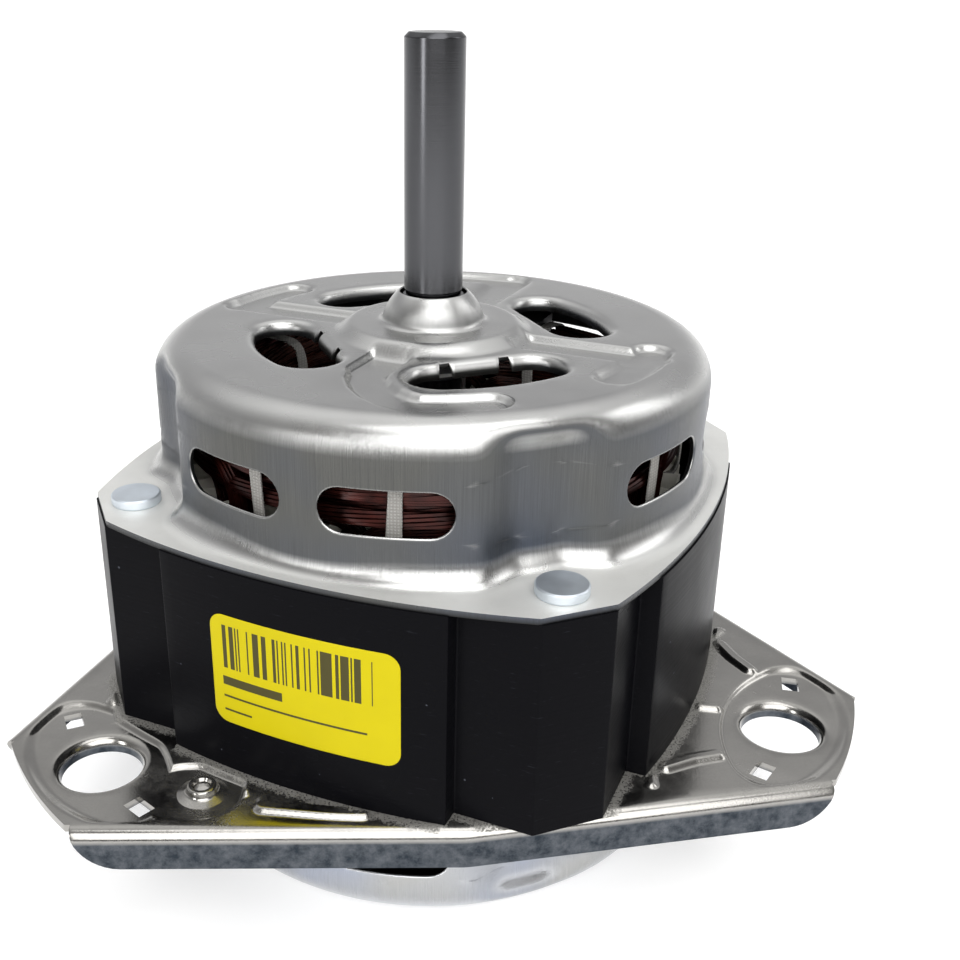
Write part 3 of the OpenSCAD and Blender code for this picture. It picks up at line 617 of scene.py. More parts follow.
def hole_outline(cover, middle, counts, radius):
    """Edge of a round hole in the wall, in the same order as a slot's."""
    n_long, n_side = counts
    centre = math.radians(middle) * cover.radius
    corner = math.atan2(1.0, 1.6)
    spans = ((-math.pi / 2 - corner, -math.pi / 2 + corner, n_long),
             (-math.pi / 2 + corner, math.pi / 2 - corner, n_side),
             (math.pi / 2 - corner, math.pi / 2 + corner, n_long),
             (math.pi / 2 + corner, 3 * math.pi / 2 - corner, n_side))
    a = np.concatenate([np.linspace(start, end, n, endpoint=False) for start, end, n in spans])
    return np.stack([centre + radius * np.cos(a), cover.slot_z + radius * np.sin(a)], -1)


def cover_sheet(cover, height, inner, hub_profile, outline, step, open_side=None):
    """Whole outside of a cover: hub, face, rounded edge, wall with its openings, flare and flange.

    The rounded edge is a quarter circle. The flare turns out about a radius that shrinks where
    the outline leaves less room, and the flange then runs level to the outline.
    """
    hub_columns, columns = 160, 288
    parts = face_sheet(cover, height, inner, (columns, hub_columns), step)
    angle = SIDES + np.arange(hub_columns) * 360.0 / hub_columns
    hub = polar(hub_profile[:, :1], angle[None], hub_profile[:, 1:])
    parts.append(grid(hub, round_columns=True))

    angle = SIDES + np.arange(columns) * 360.0 / columns
    slot_low, slot_high = cover.slot_z - SLOT_ROOM, cover.slot_z + SLOT_ROOM
    turn = np.radians(np.linspace(0, 90, 11))
    r = np.concatenate([[cover.cell_out], cover.radius - cover.edge + cover.edge * np.sin(turn)])
    z = np.concatenate([[cover.height], cover.height - cover.edge + cover.edge * np.cos(turn)])
    r = np.concatenate([r, [cover.radius] * 2])
    z = np.concatenate([z, [(z[-1] + slot_high) / 2, slot_high]])
    depth = cover.dent_depth(angle[None], z[:, None])
    edge = polar(r[:, None] - depth, angle[None], z[:, None])
    edge[0, :, 2] = height(edge[0, :, 0], edge[0, :, 1])
    parts.append(grid(edge, round_columns=True))

    cell = (36, 12)
    for k in range(4):
        side = SIDES + 90 * k
        if side == open_side:
            wide = (72, 12)
            hole = hole_outline(cover, 45, wide, LEAD_HOLE_R)
            parts.append(wall_cell(cover, side - 45, 90, hole, wide, slot_low, slot_high))
            continue
        for first, middle in ((side, 16), (side - 45, 29)):
            slot = slot_outline(cover, middle, cell)
            parts.append(wall_cell(cover, first, 45, slot, cell, slot_low, slot_high))

    wall_r = cover.radius - cover.dent_depth(angle, SHEET)
    half = corner_half(FLANGE_INSET)
    off = nearest(angle, CORNERS, 90)
    warped = angle - off + np.interp(off, [-45, -10, -5, 0, 5, 10, 45], [-45, -10, -half, 0, half, 10, 45])
    room = outline(warped) - wall_r - 0.3
    flare = -0.3 * np.log(np.exp(-cover.flare / 0.3) + np.exp(-room / 0.3))
    rows = [cover.wall(angle, slot_low), cover.wall(angle, (slot_low + SHEET + cover.flare) / 2)]
    for turn in np.radians(np.linspace(0, 90, 9)):
        out, up = 1 - math.cos(turn), 1 - math.sin(turn)
        rows.append(polar(wall_r + flare * out, angle, SHEET + flare * up))
    start = wall_r + flare
    for t in np.linspace(0, 1, 7)[1:]:
        rows.append(polar(start + t * (outline(warped) - start), angle + t * (warped - angle), SHEET))
    parts.append(grid(np.array(rows), round_columns=True))
    return join(parts)


def top_cover_shape():
    """Outside of the top cover, whose hub profile is plateau, fillet and dome up to the shaft's hole."""
    cover = Cover(radius=57.5, height=TOP_HIGH, window=(23.5, 37.0), slot_z=14.6)
    fillet = 1.6
    plateau = TOP_HIGH + HUB_RISE
    centre_r = math.sqrt((DOME_R + fillet) ** 2 - (HUB_RISE + fillet) ** 2)
    rise = math.atan2(HUB_RISE + fillet, centre_r)
    turn = np.linspace(-math.pi / 2, -math.pi + rise, 7)
    foot = np.stack([centre_r + fillet * np.cos(turn), plateau + fillet + fillet * np.sin(turn)], -1)
    up = np.linspace(rise, math.acos(7.3 / DOME_R), 14)
    dome = np.stack([DOME_R * np.cos(up), TOP_HIGH + DOME_R * np.sin(up)], -1)
    edge = dome[-1] + np.array([[-0.25, 0.12], [-0.4, -0.1]])
    hub = np.vstack([[[TOP_HUB_R, plateau]], foot, dome[1:], edge])

    def outline(angle):
        """Reach of the flange."""
        return flange_radius(angle, FLANGE_INSET)

    points, faces = cover_sheet(cover, top_height, TOP_HUB_R, hub, outline, 0.5)
    return points + [0, 0, STACK_HIGH], faces


def bottom_cover_shape():
    """Outside of the bottom cover: face, hollow round the hub and closed dome.

    It is drawn upside down, with its face on top, and then turned over.
    """
    cover = Cover(radius=57.2, height=BOTTOM_HIGH, window=(28.0, 42.0), slot_z=14.0)
    hollow = [(BOTTOM_HUB_R, BOTTOM_HIGH, 0), (22.2, BOTTOM_HIGH, 1.8), (18.9, 20.5, 2.0)]
    hub = rounded(hollow + [(10.9, 20.5, 1.4), (10.72, 20.5, 0)], 6)
    hub = hub[hub[:, 0] > 12.4]
    up = np.linspace(math.radians(17), math.radians(88.5), 18)
    fillet = np.array([[11.9, 20.52], [11.2, 20.75]])
    dome = np.stack([DOME_R * np.cos(up), DOME_R * np.sin(up) - BOTTOM_DOME], -1)
    hub = np.vstack([hub, fillet, dome, [[0.0, -BOTTOM_DOME + DOME_R]]])

    def outline(angle):
        """Reach of the flange, which also stays inside the plate's outline."""
        return np.minimum(flange_radius(angle, FLANGE_INSET), plate_radius(angle, 1.8))

    face = flat_height(BOTTOM_HIGH)
    points, faces = cover_sheet(cover, face, BOTTOM_HUB_R, hub, outline, 1.6, open_side=SIDES + 90)
    return points * [1, 1, -1], faces


def line_distance(x, y, path):
    """Distance to a line through several points."""
    least = np.full(np.shape(x), 1e9)
    for a, b in zip(path, path[1:]):
        run = np.array(b, float) - a
        t = np.clip(((x - a[0]) * run[0] + (y - a[1]) * run[1]) / (run @ run), 0, 1)
        least = np.minimum(least, np.hypot(x - a[0] - t * run[0], y - a[1] - t * run[1]))
    return least


def rib(x, y, path, half=1.35, high=0.95, wall=1.3):
    """Height of a flat-topped rib along a line: an eased step at half its width."""
    return high * ease(0.5 - (line_distance(x, y, path) - half) / wall)


def oval_distance(u, v):
    """Distance outside a sunk pad's outline: four arcs, two of them round ends."""
    u, v = np.abs(u), np.abs(v)
    a, b, end_r = PAD
    end = b - end_r
    side_r = (end ** 2 + a ** 2 - end_r ** 2) / (2 * (a - end_r))
    lean = side_r - a
    at_end = lean * (v - end) - end * u > 0
    return np.where(at_end, np.hypot(u, v - end) - end_r, np.hypot(u + lean, v) - side_r)


def plate_height(x, y):
    """Height of the plate's upper side: the flat less its sunk pads and tray, and its ribs."""
    sunk = np.zeros(x.shape)
    raised = np.zeros(x.shape)
    free = np.hypot(x, y) - flange_radius(np.degrees(np.arctan2(y, x)))
    for ear in EARS + np.array([0, 120, 240]):
        a = math.radians(-ear)
        u = x * math.cos(a) - y * math.sin(a)
        v = x * math.sin(a) + y * math.cos(a)
        outside = ease((u - 71) / 8)
        wall = 1.1 + 1.9 * outside
        away = oval_distance(u - MOUNT_CIRCLE, v) - 0.5 * outside
        sunk = np.maximum(sunk, ease(0.5 - away / wall) * (u > 60))
        near = (u > 50).astype(float)
        for side in (-1, 1):
            for path, half, high in EAR_RIBS:
                mirrored = [(along, side * across) for along, across in path]
                raised = np.maximum(raised, near * rib(u, v, mirrored, half, high))
        raised = np.maximum(raised, near * rib(u, v, EAR_NUB, 1.1))
    turn = np.radians(np.abs(nearest(np.degrees(np.arctan2(y, x)), EARS, 120)) - PLATE_SIDE_ANGLE)
    radius = np.hypot(x, y)
    edge = np.minimum(PLATE_SIDE - PLATE_BEND - radius * np.cos(turn), EAR_REACH - radius)
    sunk = sunk * ease((free - 1.2) / 1.2)
    tray = line_distance(x, y, TRAY_SPINE) - TRAY_R
    sunk = np.maximum(sunk, ease(0.5 - tray / 1.5) * ease((free - 1.5) / 1.2))
    raised = np.maximum(raised, rib(x, y, LONG_RIB, 1.5, 0.95, 1.1))
    raised = raised * ease((free - 0.6) / 0.8)
    return PLATE_T + (raised * (1 - sunk) - PAD_DEEP * sunk) * ease((edge - 0.2) / 1.6)


def plate_sides():
    """Foot lines of the folded edge: points, outward directions and folded depth, one array for each side.

    A side runs from one ear to the next through its blunt middle corner, where the direction is eased round.
    The depth follows a quarter of an ellipse at each end.
    """
    flat = PLATE_SIDE - PLATE_BEND
    reach = math.acos(flat / EAR_REACH)
    ends = flat * math.tan(reach)
    half_turn = math.radians(60 - PLATE_SIDE_ANGLE)
    to_corner = flat * math.tan(half_turn)
    for ear in (0, 120, 240):
        middle = math.radians(EARS + ear + 60)
        far = ends + to_corner
        tip = np.concatenate([[0, 0.5], FOLD_START + FOLD_END * np.linspace(0, 1, 13) ** 2])
        between = np.linspace(tip[-1] - far, far - tip[-1], 112)[1:-1]
        s = np.concatenate([tip - far, between, far - tip[::-1]])
        left = middle - half_turn
        right = middle + half_turn
        angle = np.where(s < 0, left, right)
        normal = np.stack([np.cos(angle), np.sin(angle)], -1)
        along = np.stack([-np.sin(angle), np.cos(angle)], -1)
        offset = np.where(s < 0, s + to_corner, s - to_corner)
        foot = normal * flat + along * offset[:, None]
        eased = left + (right - left) * ease(0.5 + s / 16)
        out = np.stack([np.cos(eased), np.sin(eased)], -1)
        full = PLATE_BEND * math.pi / 2 + FOLD_HIGH - PLATE_BEND
        left_over = np.clip((far - FOLD_START - np.abs(s)) / FOLD_END, 0, 1)
        yield foot, out, full * np.sqrt(1 - (1 - left_over) ** 2)


def circle(centre, radius, count):
    """Points of a circle."""
    a = np.arange(count) * 2 * math.pi / count
    return np.stack([centre[0] + radius * np.cos(a), centre[1] + radius * np.sin(a)], -1)


def plate_shape():
    """Upper side of the plate: a triangulated flat with its holes, folded sides and rolled hole lips."""
    sides = list(plate_sides())
    rim = []
    for k in range(3):
        before = sides[k - 1][0][-1]
        after = sides[k][0][0]
        a0 = math.atan2(before[1], before[0])
        a1 = a0 + (math.atan2(after[1], after[0]) - a0) % (2 * math.pi)
        a = np.linspace(a0, a1, 40)[1:-1]
        tip = EAR_REACH * np.stack([np.cos(a), np.sin(a)], -1)
        rim += [sides[k - 1][0][-1:], tip, sides[k][0][:-1]]
    rim = np.vstack(rim)
    loops = [rim, circle((0, 0), PLATE_OPENING, 220)]
    keys = []
    mounts = [polar(MOUNT_CIRCLE, EARS + ear, 0)[:2] for ear in (0, 120, 240)]
    for ear, centre in zip((0, 120, 240), mounts):
        loops.append(circle(centre, MOUNT_HOLE + HOLE_LIP, 80))
        for side in (-1, 1):
            angle = EARS + ear + side * KEY_TURN
            w, h = KEY_SIZE
            square = np.array([(-w, -h, 0), (w, -h, 0), (w, h, 0), (-w, h, 0)]) + [KEY_CIRCLE, 0, 0]
            loops.append(turned(square, angle)[:, :2])
            keys.append(polar(KEY_CIRCLE, angle, 0)[:2])
    bolts = [polar(BOLT_CIRCLE, CORNERS + 90 * k, 0)[:2] for k in range(4)]
    loops += [circle(b, BOLT_HOLE, 20) for b in bolts]
    loops.append(circle(EARTH, EARTH_HOLE, 28))

    def room(x, y, edge):
        """True where a point lies on the flat, at least edge away from its outlines."""
        radius = np.hypot(x, y)
        angle = np.degrees(np.arctan2(y, x))
        turn = np.radians(np.abs(nearest(angle, EARS, 120)) - PLATE_SIDE_ANGLE)
        keep = radius * np.cos(turn) < PLATE_SIDE - PLATE_BEND - edge
        keep &= (radius < EAR_REACH - edge) & (radius > PLATE_OPENING + edge)
        for c in mounts:
            keep &= np.hypot(x - c[0], y - c[1]) > MOUNT_HOLE + HOLE_LIP + edge
        for b in bolts:
            keep &= np.hypot(x - b[0], y - b[1]) > BOLT_HOLE + edge
        keep &= np.hypot(x - EARTH[0], y - EARTH[1]) > EARTH_HOLE + edge
        for key in keys:
            a = -math.atan2(key[1], key[0])
            u = (x - key[0]) * math.cos(a) - (y - key[1]) * math.sin(a)
            v = (x - key[0]) * math.sin(a) + (y - key[1]) * math.cos(a)
            keep &= (np.abs(u) > KEY_SIZE[0] + edge) | (np.abs(v) > KEY_SIZE[1] + edge)
        return keep

    points, triangles = flat_sheet(loops, room, 1.5, 0.32, plate_height)
    flat = np.column_stack([points, plate_height(points[:, 0], points[:, 1])])
    parts = [(flat, triangles)]

    for foot, out, depth in sides:
        r = PLATE_BEND
        s = np.linspace(0, 1, 14)[:, None] * depth[None]
        bend = np.minimum(s, r * math.pi / 2)
        across = r * np.sin(bend / r)
        down = r * (1 - np.cos(bend / r)) + np.maximum(s - r * math.pi / 2, 0)
        plan = foot[None] + out[None] * across[..., None]
        base = plate_height(foot[:, 0], foot[:, 1])
        parts.append(grid(np.dstack([plan, base[None] - down])))
    for centre in mounts:
        r = HOLE_LIP
        ring = circle((0, 0), 1.0, 80)
        s = np.linspace(0, r * math.pi / 2 + 1.1, 10)[:, None]
        bend = np.minimum(s, r * math.pi / 2)
        radius = MOUNT_HOLE + r - r * np.sin(bend / r)
        down = r * (1 - np.cos(bend / r)) + np.maximum(s - r * math.pi / 2, 0)
        plan = centre[None, None] + ring[None] * radius[..., None]
        edge = centre + ring * (MOUNT_HOLE + r)
        base = plate_height(edge[:, 0], edge[:, 1])
        parts.append(grid(np.dstack([plan, base[None] - down]), round_columns=True))
    return join(parts)


def earth_boss_shape():
    """Drawn boss of the tapped hole, with its thread as a saw-toothed bore."""
    teeth = np.arange(-0.8, 2.2, 0.35)
    bore = np.column_stack([np.tile([1.62, 1.42], len(teeth))[:len(teeth)], teeth])
    corners = [(1.9, 2.5, 0), (2.75, 2.5, 0.5), (3.1, 1.1, 0.8), (4.9, 0.49, 0), (4.9, 0.1, 0)]
    outside = rounded(corners + [(1.64, 0.1, 0), (1.64, -0.8, 0)], 5)
    profile = np.vstack([outside, bore, outside[:1]])
    points, faces = spun(profile, 40)
    return points + [EARTH[0], EARTH[1], 0], faces


def stack_outline():
    """Closed outline of the laminations and its outward directions: bows, shoulders, flats, cut corners."""
    across = np.linspace(-SHOULDER_HALF, SHOULDER_HALF, 23)[1:-1]
    edge = float(bow(SHOULDER_HALF))
    tip = CORNER_REACH * math.sqrt(2) - SHOULDER_REACH
    middle = CORNER_REACH / math.sqrt(2)
    half = [(SHOULDER_REACH, tip, 0.5), (SHOULDER_REACH, SHOULDER_HALF, 0.4), (edge, SHOULDER_HALF, 0.4)]
    corners = [(middle, -middle, 0)] + [(x, -y, r) for x, y, r in half]
    corners += [(float(bow(y)), y, 0) for y in across] + half[::-1] + [(middle, middle, 0)]
    side = rounded(corners, 4)[:-1]
    side = np.column_stack([side, 0 * side[:, 0]])
    outline = np.vstack([turned(side, SIDES + 90 * k) for k in range(4)])[:, :2]
    run = np.roll(outline, -1, 0) - np.roll(outline, 1, 0)
    out = np.stack([run[:, 1], -run[:, 0]], -1)
    return outline, out / np.linalg.norm(out, axis=1, keepdims=True)


def stack_skin_shape():
    """Painted edge of the stack: the outline repeated at each lamination, with a groove at each joint.

    Every lamination is set in or out by up to 0.012 mm, from a seeded draw.
    """
    draw = np.random.default_rng(7)
    outline, out = stack_outline()
    count = 87
    thick = (STACK_HIGH - STACK_LOW) / count
    heights, offsets = [], []
    for k, shift in enumerate(draw.uniform(-0.012, 0.012, count)):
        low = STACK_LOW + k * thick
        heights += [low + 0.02, low + thick / 2]
        offsets += [0.045, 0.065 + shift]
    heights += [STACK_HIGH - 0.02, STACK_HIGH - 0.02, STACK_LOW + 0.02]
    offsets += [0.045, -0.4, -0.4]
    plan = outline[None] + out[None] * np.array(offsets)[:, None, None]
    z = np.broadcast_to(np.array(heights)[:, None, None], plan.shape[:2] + (1,))
    return grid(np.concatenate([plan, z], -1), round_rows=True, round_columns=True)


def turn_path(half_angle, radius, rise):
    """One turn of a coil on the unrolled cylinder: an upright rounded rectangle, as (angle, height)."""
    half = math.radians(half_angle) * radius
    bend = min(9.0, rise + 0.5)
    high, low = STACK_HIGH + rise, STACK_LOW - rise
    a = np.radians(np.linspace(0, 90, 9))
    x, z = [], []
    corners = ((-1, low + bend, 1.5, low), (-1, high - bend, 1.0, None), (1, high - bend, 0.5, high),
               (1, low + bend, 0.0, None))
    for side, level, start, middle in corners:
        if middle is not None:
            x.append([0])
            z.append([middle])
        x.append(side * (half - bend) + bend * np.cos(math.pi * start - a))
        z.append(level + bend * np.sin(math.pi * start - a))
    return np.concatenate(x) / radius, np.concatenate(z)


def evened(u, v, scale, count):
    """A closed path (scale u, v) with its points set evenly along its length."""
    steps = np.hypot(np.diff(u * scale, append=u[0] * scale), np.diff(v, append=v[0]))
    stops = np.concatenate([[0], np.cumsum(steps)])
    s = np.linspace(0, stops[-1], count, endpoint=False)
    return np.interp(s, stops, np.append(u, u[0])), np.interp(s, stops, np.append(v, v[0]))


def bundle(path, out, draw):
    """Thin wires that twist once about a bundle's middle, loose at the end turns, round a thick core."""
    count = len(path)
    run = np.roll(path, -1, 0) - np.roll(path, 1, 0)
    run /= np.linalg.norm(run, axis=1, keepdims=True)
    side = np.cross(run, out)
    loose = ease((path[:, 2] - 44) / 6) + ease((2.5 - path[:, 2]) / 6)
    along = np.arange(count) / count
    parts = []
    for w in range(BUNDLE_WIRES):
        twist = 2 * math.pi * (w / BUNDLE_WIRES) + 2 * math.pi * along
        ring = 1.42 if w % 3 else 1.3
        wander = 0.16 * draw.normal() * loose * np.sin(2 * math.pi * (along * 3 + draw.random()))
        around = np.cos(twist)[:, None] * side + np.sin(twist)[:, None] * out
        parts.append(tube(path + (ring + wander)[:, None] * around, WIRE_R, out, sides=5, closed=True))
    parts.append(tube(path, CORE_R, out, closed=True))
    return parts


def wire_ring(radius, z, turn, closed, draw):
    """Wires that twist about a circle round the shaft, with a thick core. turn holds its angles."""
    parts = []
    out = polar(1.0, turn, 0.0)
    for w in range(RING_WIRES):
        twist = 2 * math.pi * w / RING_WIRES + np.radians(turn) * 3
        wander = 1.3 + 0.1 * np.sin(np.radians(turn) * 7 + draw.random() * 6)
        strand = polar(radius + wander * np.cos(twist), turn, z + wander * np.sin(twist))
        parts.append(tube(strand, RING_WIRE_R, out, sides=5, closed=closed))
    parts.append(tube(polar(radius, turn, z), CORE_R, out, closed=closed))
    return parts


def coil_shape(radii, first_angle, seed):
    """Four coils, each of three bundles of thin wires, and the rings of wires that fill the end turns.

    The middle of a bundle follows an upright rounded rectangle laid on the cylinder of its radius.
    The top ring is open where the thermal cut-out lies, but for the innermost, which clears it.
    """
    draw = np.random.default_rng(seed)
    parts = []
    for k in range(4):
        for n, radius in enumerate(radii):
            half_angle = 22.5 if n == 0 else 37.5
            x, z = turn_path(half_angle, radius, 6.0 + 4.6 * n)
            x, z = evened(x, z, radius, 96)
            angle = np.degrees(x) + first_angle + 90 * k
            parts += bundle(polar(radius, angle, z), polar(1.0, angle, 0.0), draw)
    whole = np.arange(120) * 3.0
    broken = 73.5 + np.arange(112) * 3.0
    levels = [(STACK_HIGH + 10.6, whole), (STACK_HIGH + 15.7, whole), (STACK_HIGH + 18.8, broken),
              (STACK_LOW - 10.6, whole), (STACK_LOW - 15.0, whole)]
    for radius in sorted(set(radii)):
        for z, turn in levels:
            turn = whole if radius < 41 else turn
            parts += wire_ring(radius, z, turn, turn is whole, draw)
    return join(parts)


def lacing_shape(low, high, seed):
    """Twelve tape loops round the end turns, each leaning a little.

    A flat section is carried along a superellipse: cosine and sine of the turn, each to the power 0.42.
    """
    draw = np.random.default_rng(seed)
    t = np.linspace(0, 2 * math.pi, 56, endpoint=False)
    inner, outer = 36.95, 53.05
    mid_r, half_r = (inner + outer) / 2, (outer - inner) / 2 - TAPE_THICK
    mid_z, half_z = (low + high) / 2, (high - low) / 2 - TAPE_THICK
    power = 0.42
    r = mid_r + half_r * np.sign(np.cos(t)) * np.abs(np.cos(t)) ** power
    z = mid_z + half_z * np.sign(np.sin(t)) * np.abs(np.sin(t)) ** power
    r, z = evened(r, z, 1, 72)
    run = np.stack([np.roll(r, -1) - np.roll(r, 1), np.roll(z, -1) - np.roll(z, 1)], -1)
    run /= np.linalg.norm(run, axis=1, keepdims=True)
    normal = np.stack([run[:, 1], -run[:, 0]], -1)
    edges = [(TAPE_HALF, -TAPE_THICK, 0.25), (TAPE_HALF, TAPE_THICK, 0.25), (-TAPE_HALF, TAPE_THICK, 0.25),
             (-TAPE_HALF, -TAPE_THICK, 0.25)]
    section = rounded([(0, -TAPE_THICK, 0)] + edges + [(-0.01, -TAPE_THICK, 0)], 2)
    parts = []
    for k in range(12):
        lean = draw.uniform(-1.0, 1.0)
        wide = 1 + 0.08 * np.sin(np.linspace(0, 6 * math.pi, len(r)) + draw.random() * 6)
        along = lean * (z - mid_z) / half_z
        out = r[:, None] + normal[:, :1] * section[None, :, 1]
        up = z[:, None] + normal[:, 1:] * section[None, :, 1]
        side = along[:, None] + section[None, :, 0] * wide[:, None]
        points = np.stack([out, side, up], -1)
        points = turned(points.reshape(-1, 3), TAPE_TURN + 30 * k).reshape(points.shape)
        parts.append(grid(points, round_rows=True, round_columns=True))
    return join(parts)


def shaft_shape():
    """Shaft: chamfered ends, thicker journals, a groove under the free end and the two snap ring grooves."""
    boss_top = TOP_DOME + math.sqrt(DOME_R ** 2 - BOSS_HOLE ** 2)
    top = boss_top + FREE_END
    upper_ring = TOP_DOME - BUSH_HALF - THRUST_GAP - THRUST_WASHER
    lower_ring = BOTTOM_DOME + BUSH_HALF + THRUST_GAP + THRUST_WASHER
    low = BOTTOM_DOME - 9.7 + 1.5 + 0.1
    corners = [(0, low, 0), (JOURNAL_R - 1.4, low, 0.2), (JOURNAL_R, low + 1.4, 0.2)]
    groove = JOURNAL_R - 0.6
    for ring in (lower_ring, upper_ring - SNAP_RING):
        end = ring + SNAP_RING
        corners += [(JOURNAL_R, ring, 0), (groove, ring, 0), (groove, end, 0), (JOURNAL_R, end, 0)]
    neck = SHAFT_R - 0.3
    corners += [(JOURNAL_R, boss_top - 0.8, 0.1), (neck, boss_top - 0.8, 0), (neck, boss_top + 0.1, 0)]
    corners += [(SHAFT_R, boss_top + 0.4, 0), (SHAFT_R, top - 0.9, 0.35), (SHAFT_R - 0.9, top, 0.25)]
    corners.append((0, top, 0))
    return spun(rounded(corners, 4), 96)


def bolt_shape():
    """Four through-bolts: flat round head, shank and threaded tip."""
    seat = STACK_HIGH + SHEET
    tip = -SHEET - WASHER_TALL - NUT_TALL - BOLT_PROUD
    teeth = []
    for z in np.arange(seat - 40, tip + 0.6, -0.7):
        teeth += [(2.0, z, 0), (1.72, z - 0.35, 0)]
    corners = [(0, seat + 1.93, 0), (3.6, seat + 1.95, 0.5), (4.62, seat + 2.0, 0.22)]
    corners += [(4.9, seat + 1.72, 0.18), (4.9, seat + 0.3, 0.2)]
    corners += [(4.72, seat + 0.02, 0), (2.0, seat + 0.02, 0)]
    corners += teeth + [(1.5, tip, 0), (0, tip, 0)]
    points, faces = spun(rounded(corners, 4), 56)
    return at_bolts(points, faces)


def at_bolts(points, faces):
    """A shape repeated on the four bolts' circle."""
    return join([(turned(points + [BOLT_CIRCLE, 0, 0], CORNERS + 90 * k), faces) for k in range(4)])


def nut_shape():
    """Four hexagon nuts, each a hexagon whose corners are cut by a cone at both faces.

    The hexagon's distance from its middle is half its width over flats, over the cosine of the turn
    from a flat's middle.
    """
    columns = 72
    angle = np.arange(columns) * 360.0 / columns
    turn = np.radians(nearest(angle, 0, 60))
    hexagon = 3.5 / np.cos(turn)
    face_r, hole_edge, hole_r = 3.42, 2.4, 2.05
    cut = (hexagon - face_r) * 0.62
    high = -SHEET - WASHER_TALL
    low = high - NUT_TALL
    rows = [(hole_r, low + 0.4), (hole_edge, low), (face_r, low), (hexagon, low + cut),
            (hexagon, high - cut), (face_r, high), (hole_edge, high), (hole_r, high - 0.4)]
    points = np.array([polar(r, angle, z) for r, z in rows])
    points, faces = grid(points, round_rows=True, round_columns=True)
    return at_bolts(points, faces)


def label_shape():
    """Label on the bowed side: rings from its middle to its rounded outline, laid on the side's circle."""
    w, h, c = LABEL["wide"] / 2, LABEL["high"] / 2, LABEL["corner"]
    outline = []
    for cx, cy, start in ((w - c, h - c, 0), (c - w, h - c, 90), (c - w, c - h, 180), (w - c, c - h, 270)):
        a = np.radians(np.linspace(start, start + 90, 8))
        outline.append(np.stack([cx + c * np.cos(a), cy + c * np.sin(a)], -1))
        side = 2.0 * (w if start in (0, 180) else h) - 2 * c
        end = outline[-1][-1]
        after = end + turned(np.array([[0, side, 0]]), start + 90)[0, :2]
        t = np.linspace(0, 1, 14)[1:-1, None]
        outline.append(end * (1 - t) + after * t)
    outline = np.vstack(outline)
    t = np.concatenate([np.linspace(0, 0.97, 12), [0.99, 1.0]])[:, None, None]
    flat = outline[None] * t
    lift = 0.2 - 0.07 * (t[..., 0] > 0.995)
    u = flat[..., 0] + LABEL["shift"]
    v = flat[..., 1] + LABEL["middle"]
    turn = np.arcsin(u / SIDE_R)
    reach = SIDE_R + lift
    x = SIDE_CENTRE + reach * np.cos(turn)
    y = reach * np.sin(turn)
    points = turned(np.stack([x, y, v], -1).reshape(-1, 3), SIDES + 270)
    return grid(points.reshape(flat.shape[:2] + (3,)), round_columns=True)


class Tree:
    """Adds nodes to a shader tree; an input is given a value or another node's socket."""

    def __init__(self, tree):
        self.tree = tree

    def give(self, node, key, value):
        """Sets an input to a value, or links it to a socket."""
        if isinstance(value, bpy.types.NodeSocket):
            self.tree.links.new(value, node.inputs[key])
        else:
            node.inputs[key].default_value = value

    def add(self, kind, inputs=None, **settings):
        """A new node with its settings and inputs."""
        node = self.tree.nodes.new(kind)
        for key, value in settings.items():
            setattr(node, key, value)
        for key, value in (inputs or {}).items():
            self.give(node, key, value)
        return node

    def math(self, operation, a, b=0.0):
        """Result of a calculation on two values."""
        return self.add("ShaderNodeMath", {0: a, 1: b}, operation=operation).outputs[0]

    def mix(self, factor, a, b):
        """Colour between a and b."""
        return self.add("ShaderNodeMix", {0: factor, 6: a, 7: b}, data_type="RGBA").outputs[2]

    def span(self, value, low, high, start=0.0, end=1.0):
        """A value from low to high while the given one goes from start to end."""
        reach = {"Value": value, "From Min": start, "From Max": end, "To Min": low, "To Max": high}
        return self.add("ShaderNodeMapRange", reach).outputs[0]

    def shades(self, factor, colour, low, high):
        """A colour between low and high times its own value."""
        dark = [c * low for c in colour]
        pale = [min(1, c * high) for c in colour]
        return self.mix(factor, (*dark, 1), (*pale, 1))

    def where(self):
        """Object coordinates."""
        return self.add("ShaderNodeTexCoord").outputs["Object"]

    def parts(self, vector):
        """The three parts of a vector, by the names X, Y and Z."""
        return self.add("ShaderNodeSeparateXYZ", {0: vector}).outputs

    def facing(self):
        """How far the surface faces up: the Z part of its normal."""
        return self.parts(self.add("ShaderNodeNewGeometry").outputs["Normal"])["Z"]

    def noise(self, vector, scale, detail, rough=0.5):
        """Value of a noise texture."""
        inputs = {"Vector": vector, "Scale": scale, "Detail": detail, "Roughness": rough}
        return self.add("ShaderNodeTexNoise", inputs).outputs["Fac"]

    def stored(self, name):
        """Value of a mesh attribute."""
        return self.add("ShaderNodeAttribute", attribute_name=name).outputs["Fac"]


def group(name, inputs, outputs, build):
    """A shader node group with float inputs and outputs; build fills it and returns its output sockets."""
    if name in bpy.data.node_groups:
        return bpy.data.node_groups[name]
    made = bpy.data.node_groups.new(name, "ShaderNodeTree")
    for key, value in inputs.items():
        made.interface.new_socket(key, in_out="INPUT", socket_type="NodeSocketFloat").default_value = value
    for key in outputs:
        made.interface.new_socket(key, in_out="OUTPUT", socket_type="NodeSocketFloat")
    tree = Tree(made)
    start = made.nodes.new("NodeGroupInput")
    end = made.nodes.new("NodeGroupOutput")
    for key, socket in zip(outputs, build(tree, start.outputs)):
        made.links.new(socket, end.inputs[key])
    return made


def place(tree, source, **inputs):
    """Puts a node group into a material with its own values."""
    node = tree.tree.nodes.new("ShaderNodeGroup")
    node.node_tree = source
    for key, value in inputs.items():
        node.inputs[key.replace("_", " ")].default_value = value
    return node.outputs


